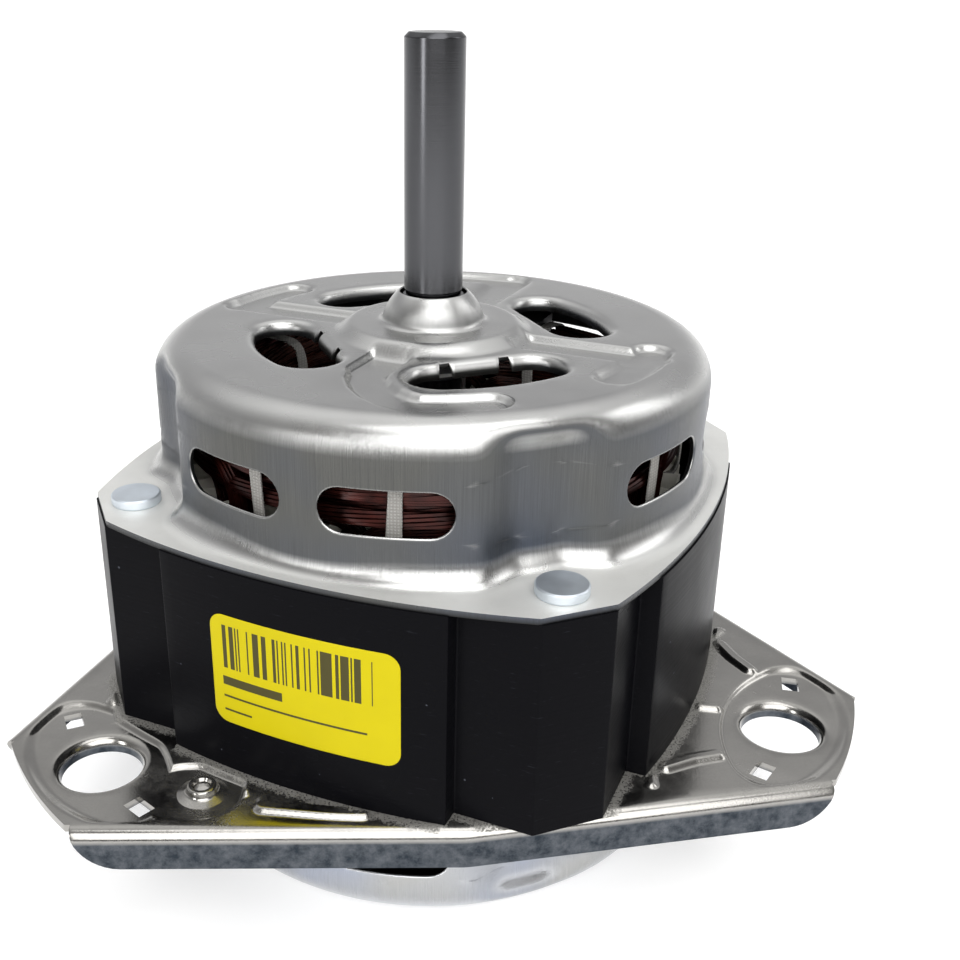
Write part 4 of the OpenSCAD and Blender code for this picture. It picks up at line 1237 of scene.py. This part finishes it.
def draw_marks():
    """Fine upright marks of drawing on a round wall.

    Noise over the angle about the shaft, stretched along it, and faded out on level faces.
    """
    def build(t, given):
        part = t.parts(t.where())
        angle = t.math("ARCTAN2", part["Y"], part["X"])
        around = t.math("MULTIPLY", angle, given["Around"])
        along = t.math("MULTIPLY", part["Z"], given["Along"])
        stretched = t.add("ShaderNodeCombineXYZ", {0: around, 1: 0.0, 2: along}).outputs[0]
        wall = t.span(t.math("ABSOLUTE", t.facing()), 1.0, 0.0, 0.25, 0.8)
        return [t.math("MULTIPLY", t.span(t.noise(stretched, 1.0, 3.0, 0.65), 0, 1, 0.3, 0.7), wall)]
    return group("draw_marks", {"Around": 900.0, "Along": 60.0}, ["Mask"], build)


def grain():
    """Fine grain of a rolled or plated surface and slow cloudy change over it."""
    def build(t, given):
        where = t.where()
        fine = t.noise(where, given["Fine"], 2.0)
        slow = t.noise(where, given["Slow"], 3.0, 0.6)
        return [t.span(fine, 0, 1, 0.3, 0.7), t.span(slow, 0, 1, 0.3, 0.7)]
    return group("grain", {"Fine": 2500.0, "Slow": 40.0}, ["Fine", "Cloud"], build)


def specks():
    """Scattered bright specks, as dust and rubs leave on a dark gloss."""
    def build(t, given):
        cells = t.add("ShaderNodeTexVoronoi", {"Vector": t.where(), "Scale": given["Scale"]}).outputs
        dots = t.math("LESS_THAN", cells["Distance"], given["Size"])
        draw = t.add("ShaderNodeSeparateColor", {0: cells["Color"]}).outputs[0]
        return [t.math("MULTIPLY", dots, t.math("GREATER_THAN", draw, given["Rarity"]))]
    return group("specks", {"Scale": 600.0, "Size": 0.12, "Rarity": 0.9}, ["Mask"], build)


def dust():
    """Dust that gathers on faces turned up, in soft patches."""
    def build(t, given):
        where = t.where()
        patch = t.noise(where, given["Patch"], 5.0, 0.7)
        fine = t.noise(where, 3800.0, 1.0)
        up = t.span(t.facing(), 0.0, 1.0, 0.3, 0.95)
        soft = t.math("MULTIPLY", t.span(patch, 0, 1, 0.45, 0.75), t.span(fine, 0.2, 1, 0.35, 0.6))
        return [t.math("MULTIPLY", soft, up)]
    return group("dust", {"Patch": 60.0}, ["Mask"], build)


def material(name, colour, rough, metal=0.0, coat=0.0, **sockets):
    """A new material with its Principled shader set; returns the material, its tree and the shader."""
    made = bpy.data.materials.new(name)
    made.use_nodes = True
    made.node_tree.nodes.clear()
    tree = Tree(made.node_tree)
    inputs = {"Base Color": (*colour, 1), "Roughness": rough, "Metallic": metal, "Coat Weight": coat}
    shader = tree.add("ShaderNodeBsdfPrincipled", {**inputs, **sockets})
    tree.add("ShaderNodeOutputMaterial", {"Surface": shader.outputs[0]})
    return made, tree, shader


def bump(tree, shader, height, depth):
    """Bump of a depth in millimetres."""
    node = tree.add("ShaderNodeBump", {"Height": height, "Distance": depth * MM, "Strength": 1.0})
    tree.give(shader, "Normal", node.outputs[0])


def zinc(name, top, side, rough, low=None, marks=0.0, dusty=0.0):
    """Zinc-plated sheet with painted shade: a top tone on level faces and a darker wall tone on the drawn
    walls, and the inside painted dark and dull as shade.

    low is the height in metres of a flange that is painted paler, as a highlight, and is duller than the
    rest.
    """
    made, tree, shader = material(name, top, rough, metal=1.0)
    fine, slow = place(tree, grain(), Fine=2600.0, Slow=45.0)
    lines = place(tree, draw_marks(), Around=900.0, Along=55.0)[0]
    level = tree.math("ABSOLUTE", tree.facing())
    cool = tree.span(tree.noise(tree.where(), 16.0, 3.0, 0.6), 0, 1, 0.38, 0.62)
    wall = tree.mix(cool, (side[0] * 1.06, side[1] * 1.04, side[2] * 0.95, 1),
                    (side[0] * 0.84, side[1] * 0.93, side[2] * 1.16, 1))
    # Painted shade: the drawn walls take the darker wall tone and the level faces the top tone.
    tone = tree.mix(tree.span(level, 0, 1, 0.1, 0.5), wall, (*top, 1))
    drawn = tree.math("MULTIPLY", lines, marks)
    shine = tree.span(tree.math("ADD", slow, drawn), rough - 0.05, rough + 0.09, 0, 2)
    if low is not None:
        above = tree.span(tree.parts(tree.where())["Z"], 1.0, 0.0, low, low + 0.0012)
        flange = tree.math("MULTIPLY", above, tree.span(level, 0, 1, 0.6, 0.9))
        # Painted highlight: the flange is painted pale, as well as made duller.
        tone = tree.mix(flange, tone, (0.8, 0.8, 0.775, 1))
        shine = tree.math("MAXIMUM", shine, tree.math("MULTIPLY", flange, 0.5))
        tree.give(shader, "Metallic", tree.span(flange, 1.0, 0.65))
    tone = tree.mix(tree.span(slow, 0.096, -0.06), tone, (0.1, 0.1, 0.1, 1))
    tone = tree.mix(tree.math("MULTIPLY", lines, 0.9 * marks), tone, (*[c * 0.5 for c in side], 1))
    if dusty:
        powder = tree.math("MULTIPLY", place(tree, dust(), Patch=70.0)[0], dusty)
        tone = tree.mix(powder, tone, (0.35, 0.33, 0.29, 1))
        shine = tree.math("MAXIMUM", shine, tree.math("MULTIPLY", powder, 0.9))
    inner = tree.stored("inner")
    # Painted shade: the inner skin is painted near black.
    tree.give(shader, "Base Color", tree.mix(inner, tone, (0.03, 0.03, 0.03, 1)))
    tree.give(shader, "Roughness", tree.math("MAXIMUM", shine, tree.math("MULTIPLY", inner, 0.5)))
    bump(tree, shader, tree.math("ADD", tree.math("MULTIPLY", fine, 0.35), drawn), 0.02)
    return made


def plate_finish(colour):
    """Bright zinc of the plate, with painted shade on its folded edge, dark and mottled, and grey dust along
    the stack's foot.

    The attribute near_stack places the dust: 9 less the distance from the stack in millimetres.
    """
    made, tree, shader = material("plate_zinc", colour, 0.2, metal=1.0)
    fine, slow = place(tree, grain(), Fine=2200.0, Slow=60.0)
    where = tree.where()
    patchy = tree.span(tree.noise(where, 500.0, 6.0, 0.75), -1.1, 0.5, 0.3, 0.7)
    uneven = tree.math("ADD", tree.stored("near_stack"), patchy)
    grit = tree.span(tree.noise(where, 2600.0, 2.0), 0.15, 1.0, 0.38, 0.62)
    strip = tree.math("MULTIPLY", tree.span(uneven, 0.0, 1.0, 6.2, 7.4), grit)
    light = tree.math("MULTIPLY", place(tree, dust(), Patch=55.0)[0], 0.35)
    powder = tree.math("MAXIMUM", strip, light)
    upright = tree.span(tree.math("ABSOLUTE", tree.facing()), 1, 0, 0.1, 0.6)
    # Painted shade: the folded edge, facing sideways below the top, is painted dark and mottled.
    fold = tree.math("MULTIPLY", upright, tree.span(tree.parts(where)["Z"], 1, 0, -0.0012, -0.0002))
    blotch = tree.span(tree.noise(where, 330.0, 5.0, 0.7), 0, 1, 0.35, 0.65)
    fold_shade = tree.mix(blotch, (0.03, 0.038, 0.048, 1), (0.11, 0.12, 0.135, 1))
    tone = tree.mix(fold, tree.shades(slow, colour, 0.88, 1.06), fold_shade)
    tree.give(shader, "Base Color", tree.mix(powder, tone, (0.17, 0.165, 0.15, 1)))
    tree.give(shader, "Metallic", tree.span(powder, 1.0, 0.15))
    dull = tree.math("MAXIMUM", powder, tree.math("MULTIPLY", slow, 0.15))
    dull = tree.math("MAXIMUM", dull, tree.math("MULTIPLY", fold, 0.25))
    tree.give(shader, "Roughness", tree.span(dull, 0.14, 0.8))
    bump(tree, shader, tree.math("ADD", tree.math("MULTIPLY", fine, 0.3), powder), 0.012)
    return made


def black_gloss(colour):
    """Black over the laminations: nearly even, with a few rubs and specks."""
    made, tree, shader = material("stack_black", colour, 0.3, **{"Specular IOR Level": 0.03})
    fine, slow = place(tree, grain(), Fine=900.0, Slow=30.0)
    marks = place(tree, specks(), Scale=420.0, Size=0.1, Rarity=0.93)[0]
    mapping = tree.add("ShaderNodeMapping", {"Vector": tree.where(), "Scale": (350, 350, 2600)})
    streaks = tree.noise(mapping.outputs[0], 1.0, 2.0)
    rubs = tree.math("MULTIPLY", tree.span(streaks, 0, 1, 0.68, 0.82), 0.1)
    pale = tree.math("MAXIMUM", tree.math("MULTIPLY", marks, 0.4), rubs)
    tree.give(shader, "Base Color", tree.mix(pale, (*colour, 1), (0.13, 0.14, 0.17, 1)))
    tree.give(shader, "Roughness", tree.span(slow, 0.24, 0.36))
    bump(tree, shader, tree.math("ADD", streaks, tree.math("MULTIPLY", fine, 0.3)), 0.012)
    return made


def wire_enamel(name, colour, seed):
    """Enamelled copper: dark red varnish over bright wire, with a slow change of tone along the wires. The
    colour given is darkened as painted shade of the motor's inside.
    """
    made, tree, shader = material(name, colour, 0.32, metal=0.85, coat=0.2, **{"Coat Roughness": 0.2})
    cloud = tree.noise(tree.where(), 260.0 + seed, 3.0)
    tree.give(shader, "Base Color", tree.shades(tree.span(cloud, 0, 1, 0.35, 0.65), colour, 0.45, 1.35))
    tree.give(shader, "Roughness", tree.span(cloud, 0.24, 0.42))
    bump(tree, shader, cloud, 0.03)
    return made


def woven_tape():
    """White tape: a plain weave drawn by two crossed waves on the Object coordinates."""
    made, tree, shader = material("lacing_white", (0.8, 0.79, 0.76), 0.85)
    inputs = {"Vector": tree.where(), "Scale": 520.0, "Distortion": 0.6}
    warp, weft = (tree.add("ShaderNodeTexWave", inputs, bands_direction=axis) for axis in ("X", "Z"))
    weave = tree.math("MULTIPLY", warp.outputs["Fac"], weft.outputs["Fac"])
    tree.give(shader, "Base Color", tree.mix(weave, (0.3, 0.29, 0.27, 1), (0.45, 0.44, 0.42, 1)))
    bump(tree, shader, weave, 0.08)
    return made


def plain(name, colour, rough, metal=0.0, fine=1500.0, depth=0.02):
    """A quiet finish with a fine grain and a slow change of tone, for the parts inside."""
    made, tree, shader = material(name, colour, rough, metal=metal)
    small, slow = place(tree, grain(), Fine=fine, Slow=90.0)
    tree.give(shader, "Base Color", tree.shades(slow, colour, 0.88, 1.12))
    tree.give(shader, "Roughness", tree.span(slow, max(0.03, rough - 0.06), min(1, rough + 0.06)))
    bump(tree, shader, small, depth)
    return made


def ground_steel(name, colour, rough):
    """Ground shaft: fine lines round it, from noise that changes fast along it and slowly across it."""
    made, tree, shader = material(name, colour, rough, metal=1.0)
    mapping = tree.add("ShaderNodeMapping", {"Vector": tree.where(), "Scale": (60, 60, 7000)})
    rings = tree.noise(mapping.outputs[0], 1.0, 3.0, 0.7)
    slow = place(tree, grain(), Fine=1800.0, Slow=35.0)[1]
    tree.give(shader, "Base Color", tree.shades(rings, colour, 0.86, 1.1))
    tree.give(shader, "Roughness", tree.span(tree.math("ADD", slow, rings), rough - 0.05, rough + 0.07, 0, 2))
    bump(tree, shader, rings, 0.006)
    return made


def label_finish(colour):
    """Yellow film with generic dark bars and short ruled lines, placed by the label's own UV map."""
    made, tree, shader = material("label_film", colour, 0.4, **{"Specular IOR Level": 0.12})
    part = tree.parts(tree.add("ShaderNodeUVMap", uv_map="UVMap").outputs[0])

    def between(key, low, high):
        """1 where a coordinate lies between two values, otherwise 0."""
        above = tree.math("GREATER_THAN", part[key], low)
        return tree.math("MULTIPLY", above, tree.math("LESS_THAN", part[key], high))

    column = tree.math("FLOOR", tree.math("MULTIPLY", part["X"], 118.0))
    draw = tree.add("ShaderNodeTexWhiteNoise", {"W": column}, noise_dimensions="1D").outputs["Value"]
    field = tree.math("MULTIPLY", between("X", 0.07, 0.87), between("Y", 0.52, 0.91))
    ink = tree.math("MULTIPLY", tree.math("GREATER_THAN", draw, 0.45), field)
    for low, high, end in ((0.36, 0.44, 0.40), (0.245, 0.265, 0.84), (0.115, 0.135, 0.22)):
        line = tree.math("MULTIPLY", between("Y", low, high), between("X", 0.06, end))
        ink = tree.math("MAXIMUM", ink, line)
    fine, slow = place(tree, grain(), Fine=1200.0, Slow=50.0)
    tone = tree.shades(slow, colour, 0.94, 1.03)
    tree.give(shader, "Base Color", tree.mix(tree.math("MULTIPLY", ink, 0.93), tone, (0.03, 0.028, 0.02, 1)))
    tree.give(shader, "Roughness", tree.span(slow, 0.32, 0.42))
    bump(tree, shader, fine, 0.006)
    return made


def colour_property(name, text, value):
    """Property that holds a colour."""
    return bpy.props.FloatVectorProperty(name=name, description=text, default=value, subtype="COLOR", size=3,
                                         min=0, max=1)


class MotorColours(bpy.types.PropertyGroup):
    """Colours of the motor's finishes"""
    cover_top: colour_property("Cover faces", "Zinc of the covers' level faces", (0.54, 0.54, 0.53))
    # Painted shade: the walls' tone is set far darker than the faces' zinc.
    cover_wall_shade: colour_property("Cover walls", "Zinc of the covers' drawn walls", (0.112, 0.114, 0.116))
    plate: colour_property("Plate", "Zinc of the mounting plate", (0.38, 0.37, 0.35))
    stack: colour_property("Stack", "Black over the laminations", (0.004, 0.004, 0.005))
    # Painted shade: the wire is darkened far below enamelled copper, for the dark inside of the motor.
    wire: colour_property("Wire", "Enamelled copper wire", (0.036, 0.006, 0.004))
    label: colour_property("Label", "Film of the label", (0.56, 0.47, 0.004))
    # Painted dark reflection: the steel is darkened far below ground steel.
    shaft: colour_property("Shaft", "Ground steel of the shaft", (0.08, 0.081, 0.086))


class MotorStage(bpy.types.PropertyGroup):
    """Floor, light and camera"""
    lens: bpy.props.FloatProperty(name="Lens", description="Focal length of the camera", default=44.92,
                                  min=10, unit="CAMERA")
    floor: colour_property("Floor", "Colour of the floor", (0.76, 0.76, 0.76))
    floor_glow: bpy.props.FloatProperty(name="Floor glow", default=0.9, min=0, max=1,
                                        description="Light the floor adds where it is seen or mirrored")
    floor_size: bpy.props.FloatProperty(name="Floor size", description="Half the width of the floor",
                                        default=14.0, min=1, unit="LENGTH")


def points_of(made):
    """A mesh object's points in millimetres."""
    where = np.zeros(len(made.data.vertices) * 3)
    made.data.vertices.foreach_get("co", where)
    return where.reshape(-1, 3) / MM


class MOTOR_OT_covers(bpy.types.Operator):
    """Builds the two pressed covers"""
    bl_idname = "motor.covers"
    bl_label = "Covers"

    def execute(self, context):
        colours = context.scene.motor_colours
        face, side = tuple(colours.cover_top), tuple(colours.cover_wall_shade)
        top = zinc("cover_zinc", face, side, 0.28, low=(STACK_HIGH + SHEET) * MM, marks=0.8, dusty=0.12)
        # Painted shade: the bottom cover's walls are a little darker than its faces.
        low = zinc("base_zinc", (0.6, 0.61, 0.63), (0.5, 0.51, 0.545), 0.26, marks=0.5)
        piece("top_cover_sheet", top_cover_shape(), top, stands_for=["top_cover"],
              wall=SHEET, inside=(0, 0, 50))
        piece("bottom_cover_sheet", bottom_cover_shape(), low, stands_for=["bottom_cover"],
              wall=SHEET, inside=(0, 0, -5))
        return {"FINISHED"}


class MOTOR_OT_plate(bpy.types.Operator):
    """Builds the mounting plate and its tapped boss"""
    bl_idname = "motor.plate"
    bl_label = "Mounting plate"

    def execute(self, context):
        finish = plate_finish(tuple(context.scene.motor_colours.plate))
        plate = piece("plate_sheet", plate_shape(), finish, stands_for=["mounting_plate"],
                      wall=PLATE_T, inside=(0, 0, -900))
        where = points_of(plate)
        near = np.where(where[:, 2] > 0.3, 9 - np.clip(stack_away(where[:, 0], where[:, 1]), 0, 9), 0)
        stored = plate.data.attributes.new("near_stack", "FLOAT", "POINT")
        stored.data.foreach_set("value", near.astype(np.float32))
        piece("earth_boss", earth_boss_shape(), finish)
        return {"FINISHED"}


class MOTOR_OT_stack(bpy.types.Operator):
    """Builds the painted edge of the lamination stack and its label"""
    bl_idname = "motor.stack"
    bl_label = "Stack and label"

    def execute(self, context):
        colours = context.scene.motor_colours
        paint = black_gloss(tuple(colours.stack))
        piece("stack_skin", stack_skin_shape(), paint, sharp=40)
        dress("stator_core", paint)
        film = label_finish(tuple(colours.label))
        label = piece("label_film", label_shape(), film, stands_for=["side_label"],
                      wall=0.12, inside=(0, 0, 20), sharp=50)
        uv = label.data.uv_layers.new(name="UVMap")
        loops = np.zeros(len(label.data.loops), int)
        label.data.loops.foreach_get("vertex_index", loops)
        where = turned(points_of(label), -(SIDES + 270))[loops]
        across = (SIDE_R * np.arcsin(where[:, 1] / SIDE_R) - LABEL["shift"]) / LABEL["wide"] + 0.5
        up = (where[:, 2] - LABEL["middle"]) / LABEL["high"] + 0.5
        uv.data.foreach_set("uv", np.column_stack([across, up]).ravel())
        return {"FINISHED"}


def dress(node, finish):
    """Gives a CAD node a finish."""
    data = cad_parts[node].data
    data.materials.clear()
    data.materials.append(finish)


class MOTOR_OT_windings(bpy.types.Operator):
    """Builds the wound coils and the tape that laces their ends"""
    bl_idname = "motor.windings"
    bl_label = "Windings"

    def execute(self, context):
        colour = tuple(context.scene.motor_colours.wire)
        first = wire_enamel("wire_red", colour, 0)
        second = wire_enamel("wire_brown", (colour[0] * 1.15, colour[1] * 1.7, colour[2] * 1.3), 31)
        main = coil_shape((46.85, 46.85, 50.55), 0.0, 3)
        start = coil_shape((43.15, 43.15, 39.45), 45.0, 5)
        piece("main_coils", main, first, stands_for=["main_winding"])
        piece("start_coils", start, second, stands_for=["start_winding"])
        tape = woven_tape()
        top = lacing_shape(45.3, 66.4, 11)
        bottom = lacing_shape(-16.2, 1.2, 12)
        piece("top_tape", top, tape, stands_for=["top_lacing"])
        piece("bottom_tape", bottom, tape, stands_for=["bottom_lacing"])
        return {"FINISHED"}


class MOTOR_OT_turned(bpy.types.Operator):
    """Builds the shaft, the through-bolts and their nuts"""
    bl_idname = "motor.turned"
    bl_label = "Shaft and bolts"

    def execute(self, context):
        steel = ground_steel("shaft_steel", tuple(context.scene.motor_colours.shaft), 0.2)
        piece("shaft_bar", shaft_shape(), steel, body=ROTOR, stands_for=["shaft"],
              sharp=30)
        bright = plain("bolt_bright_zinc", (0.68, 0.73, 0.78), 0.5, metal=1.0, fine=2600.0, depth=0.006)
        piece("flat_head_bolts", bolt_shape(), bright, stands_for=["through_bolts"],
              sharp=30)
        piece("hex_nuts", nut_shape(), bright, stands_for=["bolt_nuts"], sharp=25)
        dress("spring_washers", bright)
        return {"FINISHED"}


class MOTOR_OT_inside(bpy.types.Operator):
    """Gives the parts inside the motor their finishes"""
    bl_idname = "motor.inside"
    bl_label = "Inside"

    def execute(self, context):
        film = plain("liner_film", (0.82, 0.8, 0.72), 0.5, fine=700.0)
        bronze = plain("bush_bronze", (0.55, 0.36, 0.2), 0.45, metal=1.0, fine=3200.0, depth=0.05)
        spring = plain("spring_steel", (0.3, 0.31, 0.34), 0.32, metal=1.0)
        felt = plain("oiled_felt", (0.45, 0.36, 0.2), 0.95, fine=5200.0, depth=0.3)
        nylon = plain("white_nylon", (0.8, 0.8, 0.77), 0.45, fine=900.0)
        black = plain("moulded_black", (0.02, 0.02, 0.021), 0.5, fine=1400.0)
        rubber = plain("grommet_rubber", (0.018, 0.018, 0.018), 0.7, fine=2100.0, depth=0.03)
        cast = plain("cast_aluminium", (0.62, 0.62, 0.63), 0.45, metal=1.0, fine=1100.0, depth=0.06)
        core = plain("rotor_steel", (0.17, 0.165, 0.16), 0.4, metal=1.0, fine=1900.0, depth=0.03)
        finishes = {
            "slot_liners": film, "slot_wedges": film, "top_bush": bronze, "bottom_bush": bronze,
            "top_bush_retainer": spring, "bottom_bush_retainer": spring, "top_snap_ring": spring,
            "bottom_snap_ring": spring, "top_oil_felt": felt, "bottom_oil_felt": felt,
            "top_thrust_washer": nylon, "bottom_thrust_washer": nylon, "thrust_pad": nylon,
            "thermal_cutout": black, "lead_grommet": rubber, "rotor_cage": cast, "rotor_core": core,
        }
        for node, finish in finishes.items():
            dress(node, finish)
        return {"FINISHED"}


def area_lamp(name, place_at, aim, size, power):
    """Soft rectangular lamp that faces a point."""
    lamp = bpy.data.lights.new(name, "AREA")
    lamp.shape = "RECTANGLE"
    lamp.size, lamp.size_y = size
    lamp.energy = power
    made = bpy.data.objects.new(name, lamp)
    made.location = place_at
    made.rotation_euler = (Vector(aim) - Vector(place_at)).to_track_quat("-Z", "Y").to_euler()
    bpy.context.scene.collection.objects.link(made)


def floor_finish(colour, glow):
    """Pale paper that adds light of its own only where it is seen or mirrored, and more of it far off."""
    finish, tree, shader = material("floor_paper", colour, 0.9)
    path = tree.add("ShaderNodeLightPath").outputs
    seen = tree.math("MAXIMUM", path["Is Camera Ray"], path["Is Glossy Ray"])
    seen = tree.math("MAXIMUM", seen, path["Is Transmission Ray"])
    away = tree.add("ShaderNodeVectorMath", {0: tree.where()}, operation="LENGTH").outputs["Value"]
    added = tree.mix(tree.span(away, 0, 1, 0.3, 2.0), (*[0.42 * glow] * 3, 1), (*[glow] * 3, 1))
    tree.give(shader, "Emission Color", tree.mix(seen, (0, 0, 0, 1), added))
    shader.inputs["Emission Strength"].default_value = 1.0
    return finish


def studio_world():
    """World that is dark in front and, behind the motor, bright at the horizon and overhead.

    Where the camera sees it directly, it is white.
    """
    world = bpy.data.worlds.new("studio")
    world.use_nodes = True
    world.node_tree.nodes.clear()
    sky = Tree(world.node_tree)
    way = sky.parts(sky.add("ShaderNodeTexCoord").outputs["Generated"])
    back = sky.mix(sky.span(way["Z"], 0, 1, 0.04, 0.3), (0.98, 0.98, 0.98, 1), (0.5, 0.5, 0.51, 1))
    back = sky.mix(sky.span(way["Z"], 0, 1, 0.5, 0.85), back, (1.15, 1.15, 1.15, 1))
    tone = sky.mix(sky.span(way["Y"], 0, 1, -0.45, 0.35), (0.16, 0.155, 0.15, 1), back)
    shown = sky.mix(sky.add("ShaderNodeLightPath").outputs["Is Camera Ray"], tone, (1, 1, 1, 1))
    light = sky.add("ShaderNodeBackground", {"Color": shown, "Strength": 1.0})
    sky.add("ShaderNodeOutputWorld", {"Surface": light.outputs[0]})
    return world


class MOTOR_OT_stage(bpy.types.Operator):
    """Makes the floor, the studio light and the camera"""
    bl_idname = "motor.stage"
    bl_label = "Stage"

    def execute(self, context):
        stage = context.scene.motor_stage
        size = stage.floor_size
        level = FLOOR_LEVEL * MM
        corners = [(-size, -size, level), (size, -size, level), (size, size, level), (-size, size, level)]
        mesh = bpy.data.meshes.new("floor")
        mesh.from_pydata(corners, [], [(0, 1, 2, 3)])
        floor = bpy.data.objects.new("floor", mesh)
        context.scene.collection.objects.link(floor)
        mesh.materials.append(floor_finish(tuple(stage.floor), stage.floor_glow))
        context.scene.world = studio_world()

        area_lamp("overhead", (0.1, -0.25, 1.2), (0, 0, 0.05), (0.9, 0.6), 4)
        area_lamp("front_window", (0.05, -1.1, 0.85), (0, 0, 0.06), (1.4, 1.25), 19)
        area_lamp("left_front", (-1.0, -0.85, 0.42), (0, 0, 0.1), (0.25, 0.75), 4.5)
        area_lamp("right_side", (1.25, 0.1, 0.8), (0, 0, 0.04), (0.5, 0.8), 3)

        camera = bpy.data.objects.new("camera", bpy.data.cameras.new("camera"))
        context.scene.collection.objects.link(camera)
        camera.data.sensor_width = 36
        camera.data.lens = stage.lens
        camera.data.shift_x = (PICTURE / 2 - AXIS_POINT[0]) / PICTURE
        camera.data.shift_y = (AXIS_POINT[1] - PICTURE / 2) / PICTURE
        heading, pitch, roll = (math.radians(v) for v in (5.83, 22.81, 0.41))
        ahead = Vector((math.sin(heading) * math.cos(pitch), math.cos(heading) * math.cos(pitch),
                        -math.sin(pitch)))
        level_right = Vector((math.cos(heading), -math.sin(heading), 0))
        level_up = level_right.cross(ahead)
        right = level_right * math.cos(roll) + level_up * math.sin(roll)
        up = level_up * math.cos(roll) - level_right * math.sin(roll)
        turn = Matrix((right, up, -ahead)).transposed().to_4x4()
        camera.matrix_world = Matrix.Translation((-0.02485, -0.24051, 0.14644)) @ turn
        context.scene.camera = camera
        context.scene.view_settings.view_transform = "Standard"
        return {"FINISHED"}


class MOTOR_PT_panel(bpy.types.Panel):
    """Lists the steps that build the motor"""
    bl_idname = "MOTOR_PT_panel"
    bl_label = "Motor"
    bl_space_type = "VIEW_3D"
    bl_region_type = "UI"
    bl_category = "Motor"

    def draw(self, context):
        for settings in (context.scene.motor_colours, context.scene.motor_stage):
            box = self.layout.box()
            for key in settings.__annotations__:
                box.prop(settings, key)
        for operator in OPERATORS:
            self.layout.operator(operator.bl_idname)


OPERATORS = (MOTOR_OT_stage, MOTOR_OT_covers, MOTOR_OT_plate, MOTOR_OT_stack, MOTOR_OT_windings,
             MOTOR_OT_turned, MOTOR_OT_inside)
CLASSES = (MotorColours, MotorStage, *OPERATORS, MOTOR_PT_panel)


def register():
    """Registers the classes and their settings."""
    for item in CLASSES:
        bpy.utils.register_class(item)
    bpy.types.Scene.motor_colours = bpy.props.PointerProperty(type=MotorColours)
    bpy.types.Scene.motor_stage = bpy.props.PointerProperty(type=MotorStage)


def unregister():
    """Takes back what register has done."""
    del bpy.types.Scene.motor_colours
    del bpy.types.Scene.motor_stage
    for item in reversed(CLASSES):
        bpy.utils.unregister_class(item)


def main():
    """Builds the whole motor and its stage."""
    register()
    bpy.ops.motor.stage()
    bpy.ops.motor.covers()
    bpy.ops.motor.plate()
    bpy.ops.motor.stack()
    bpy.ops.motor.windings()
    bpy.ops.motor.turned()
    bpy.ops.motor.inside()
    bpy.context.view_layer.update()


if __name__ == "__main__":
    main()
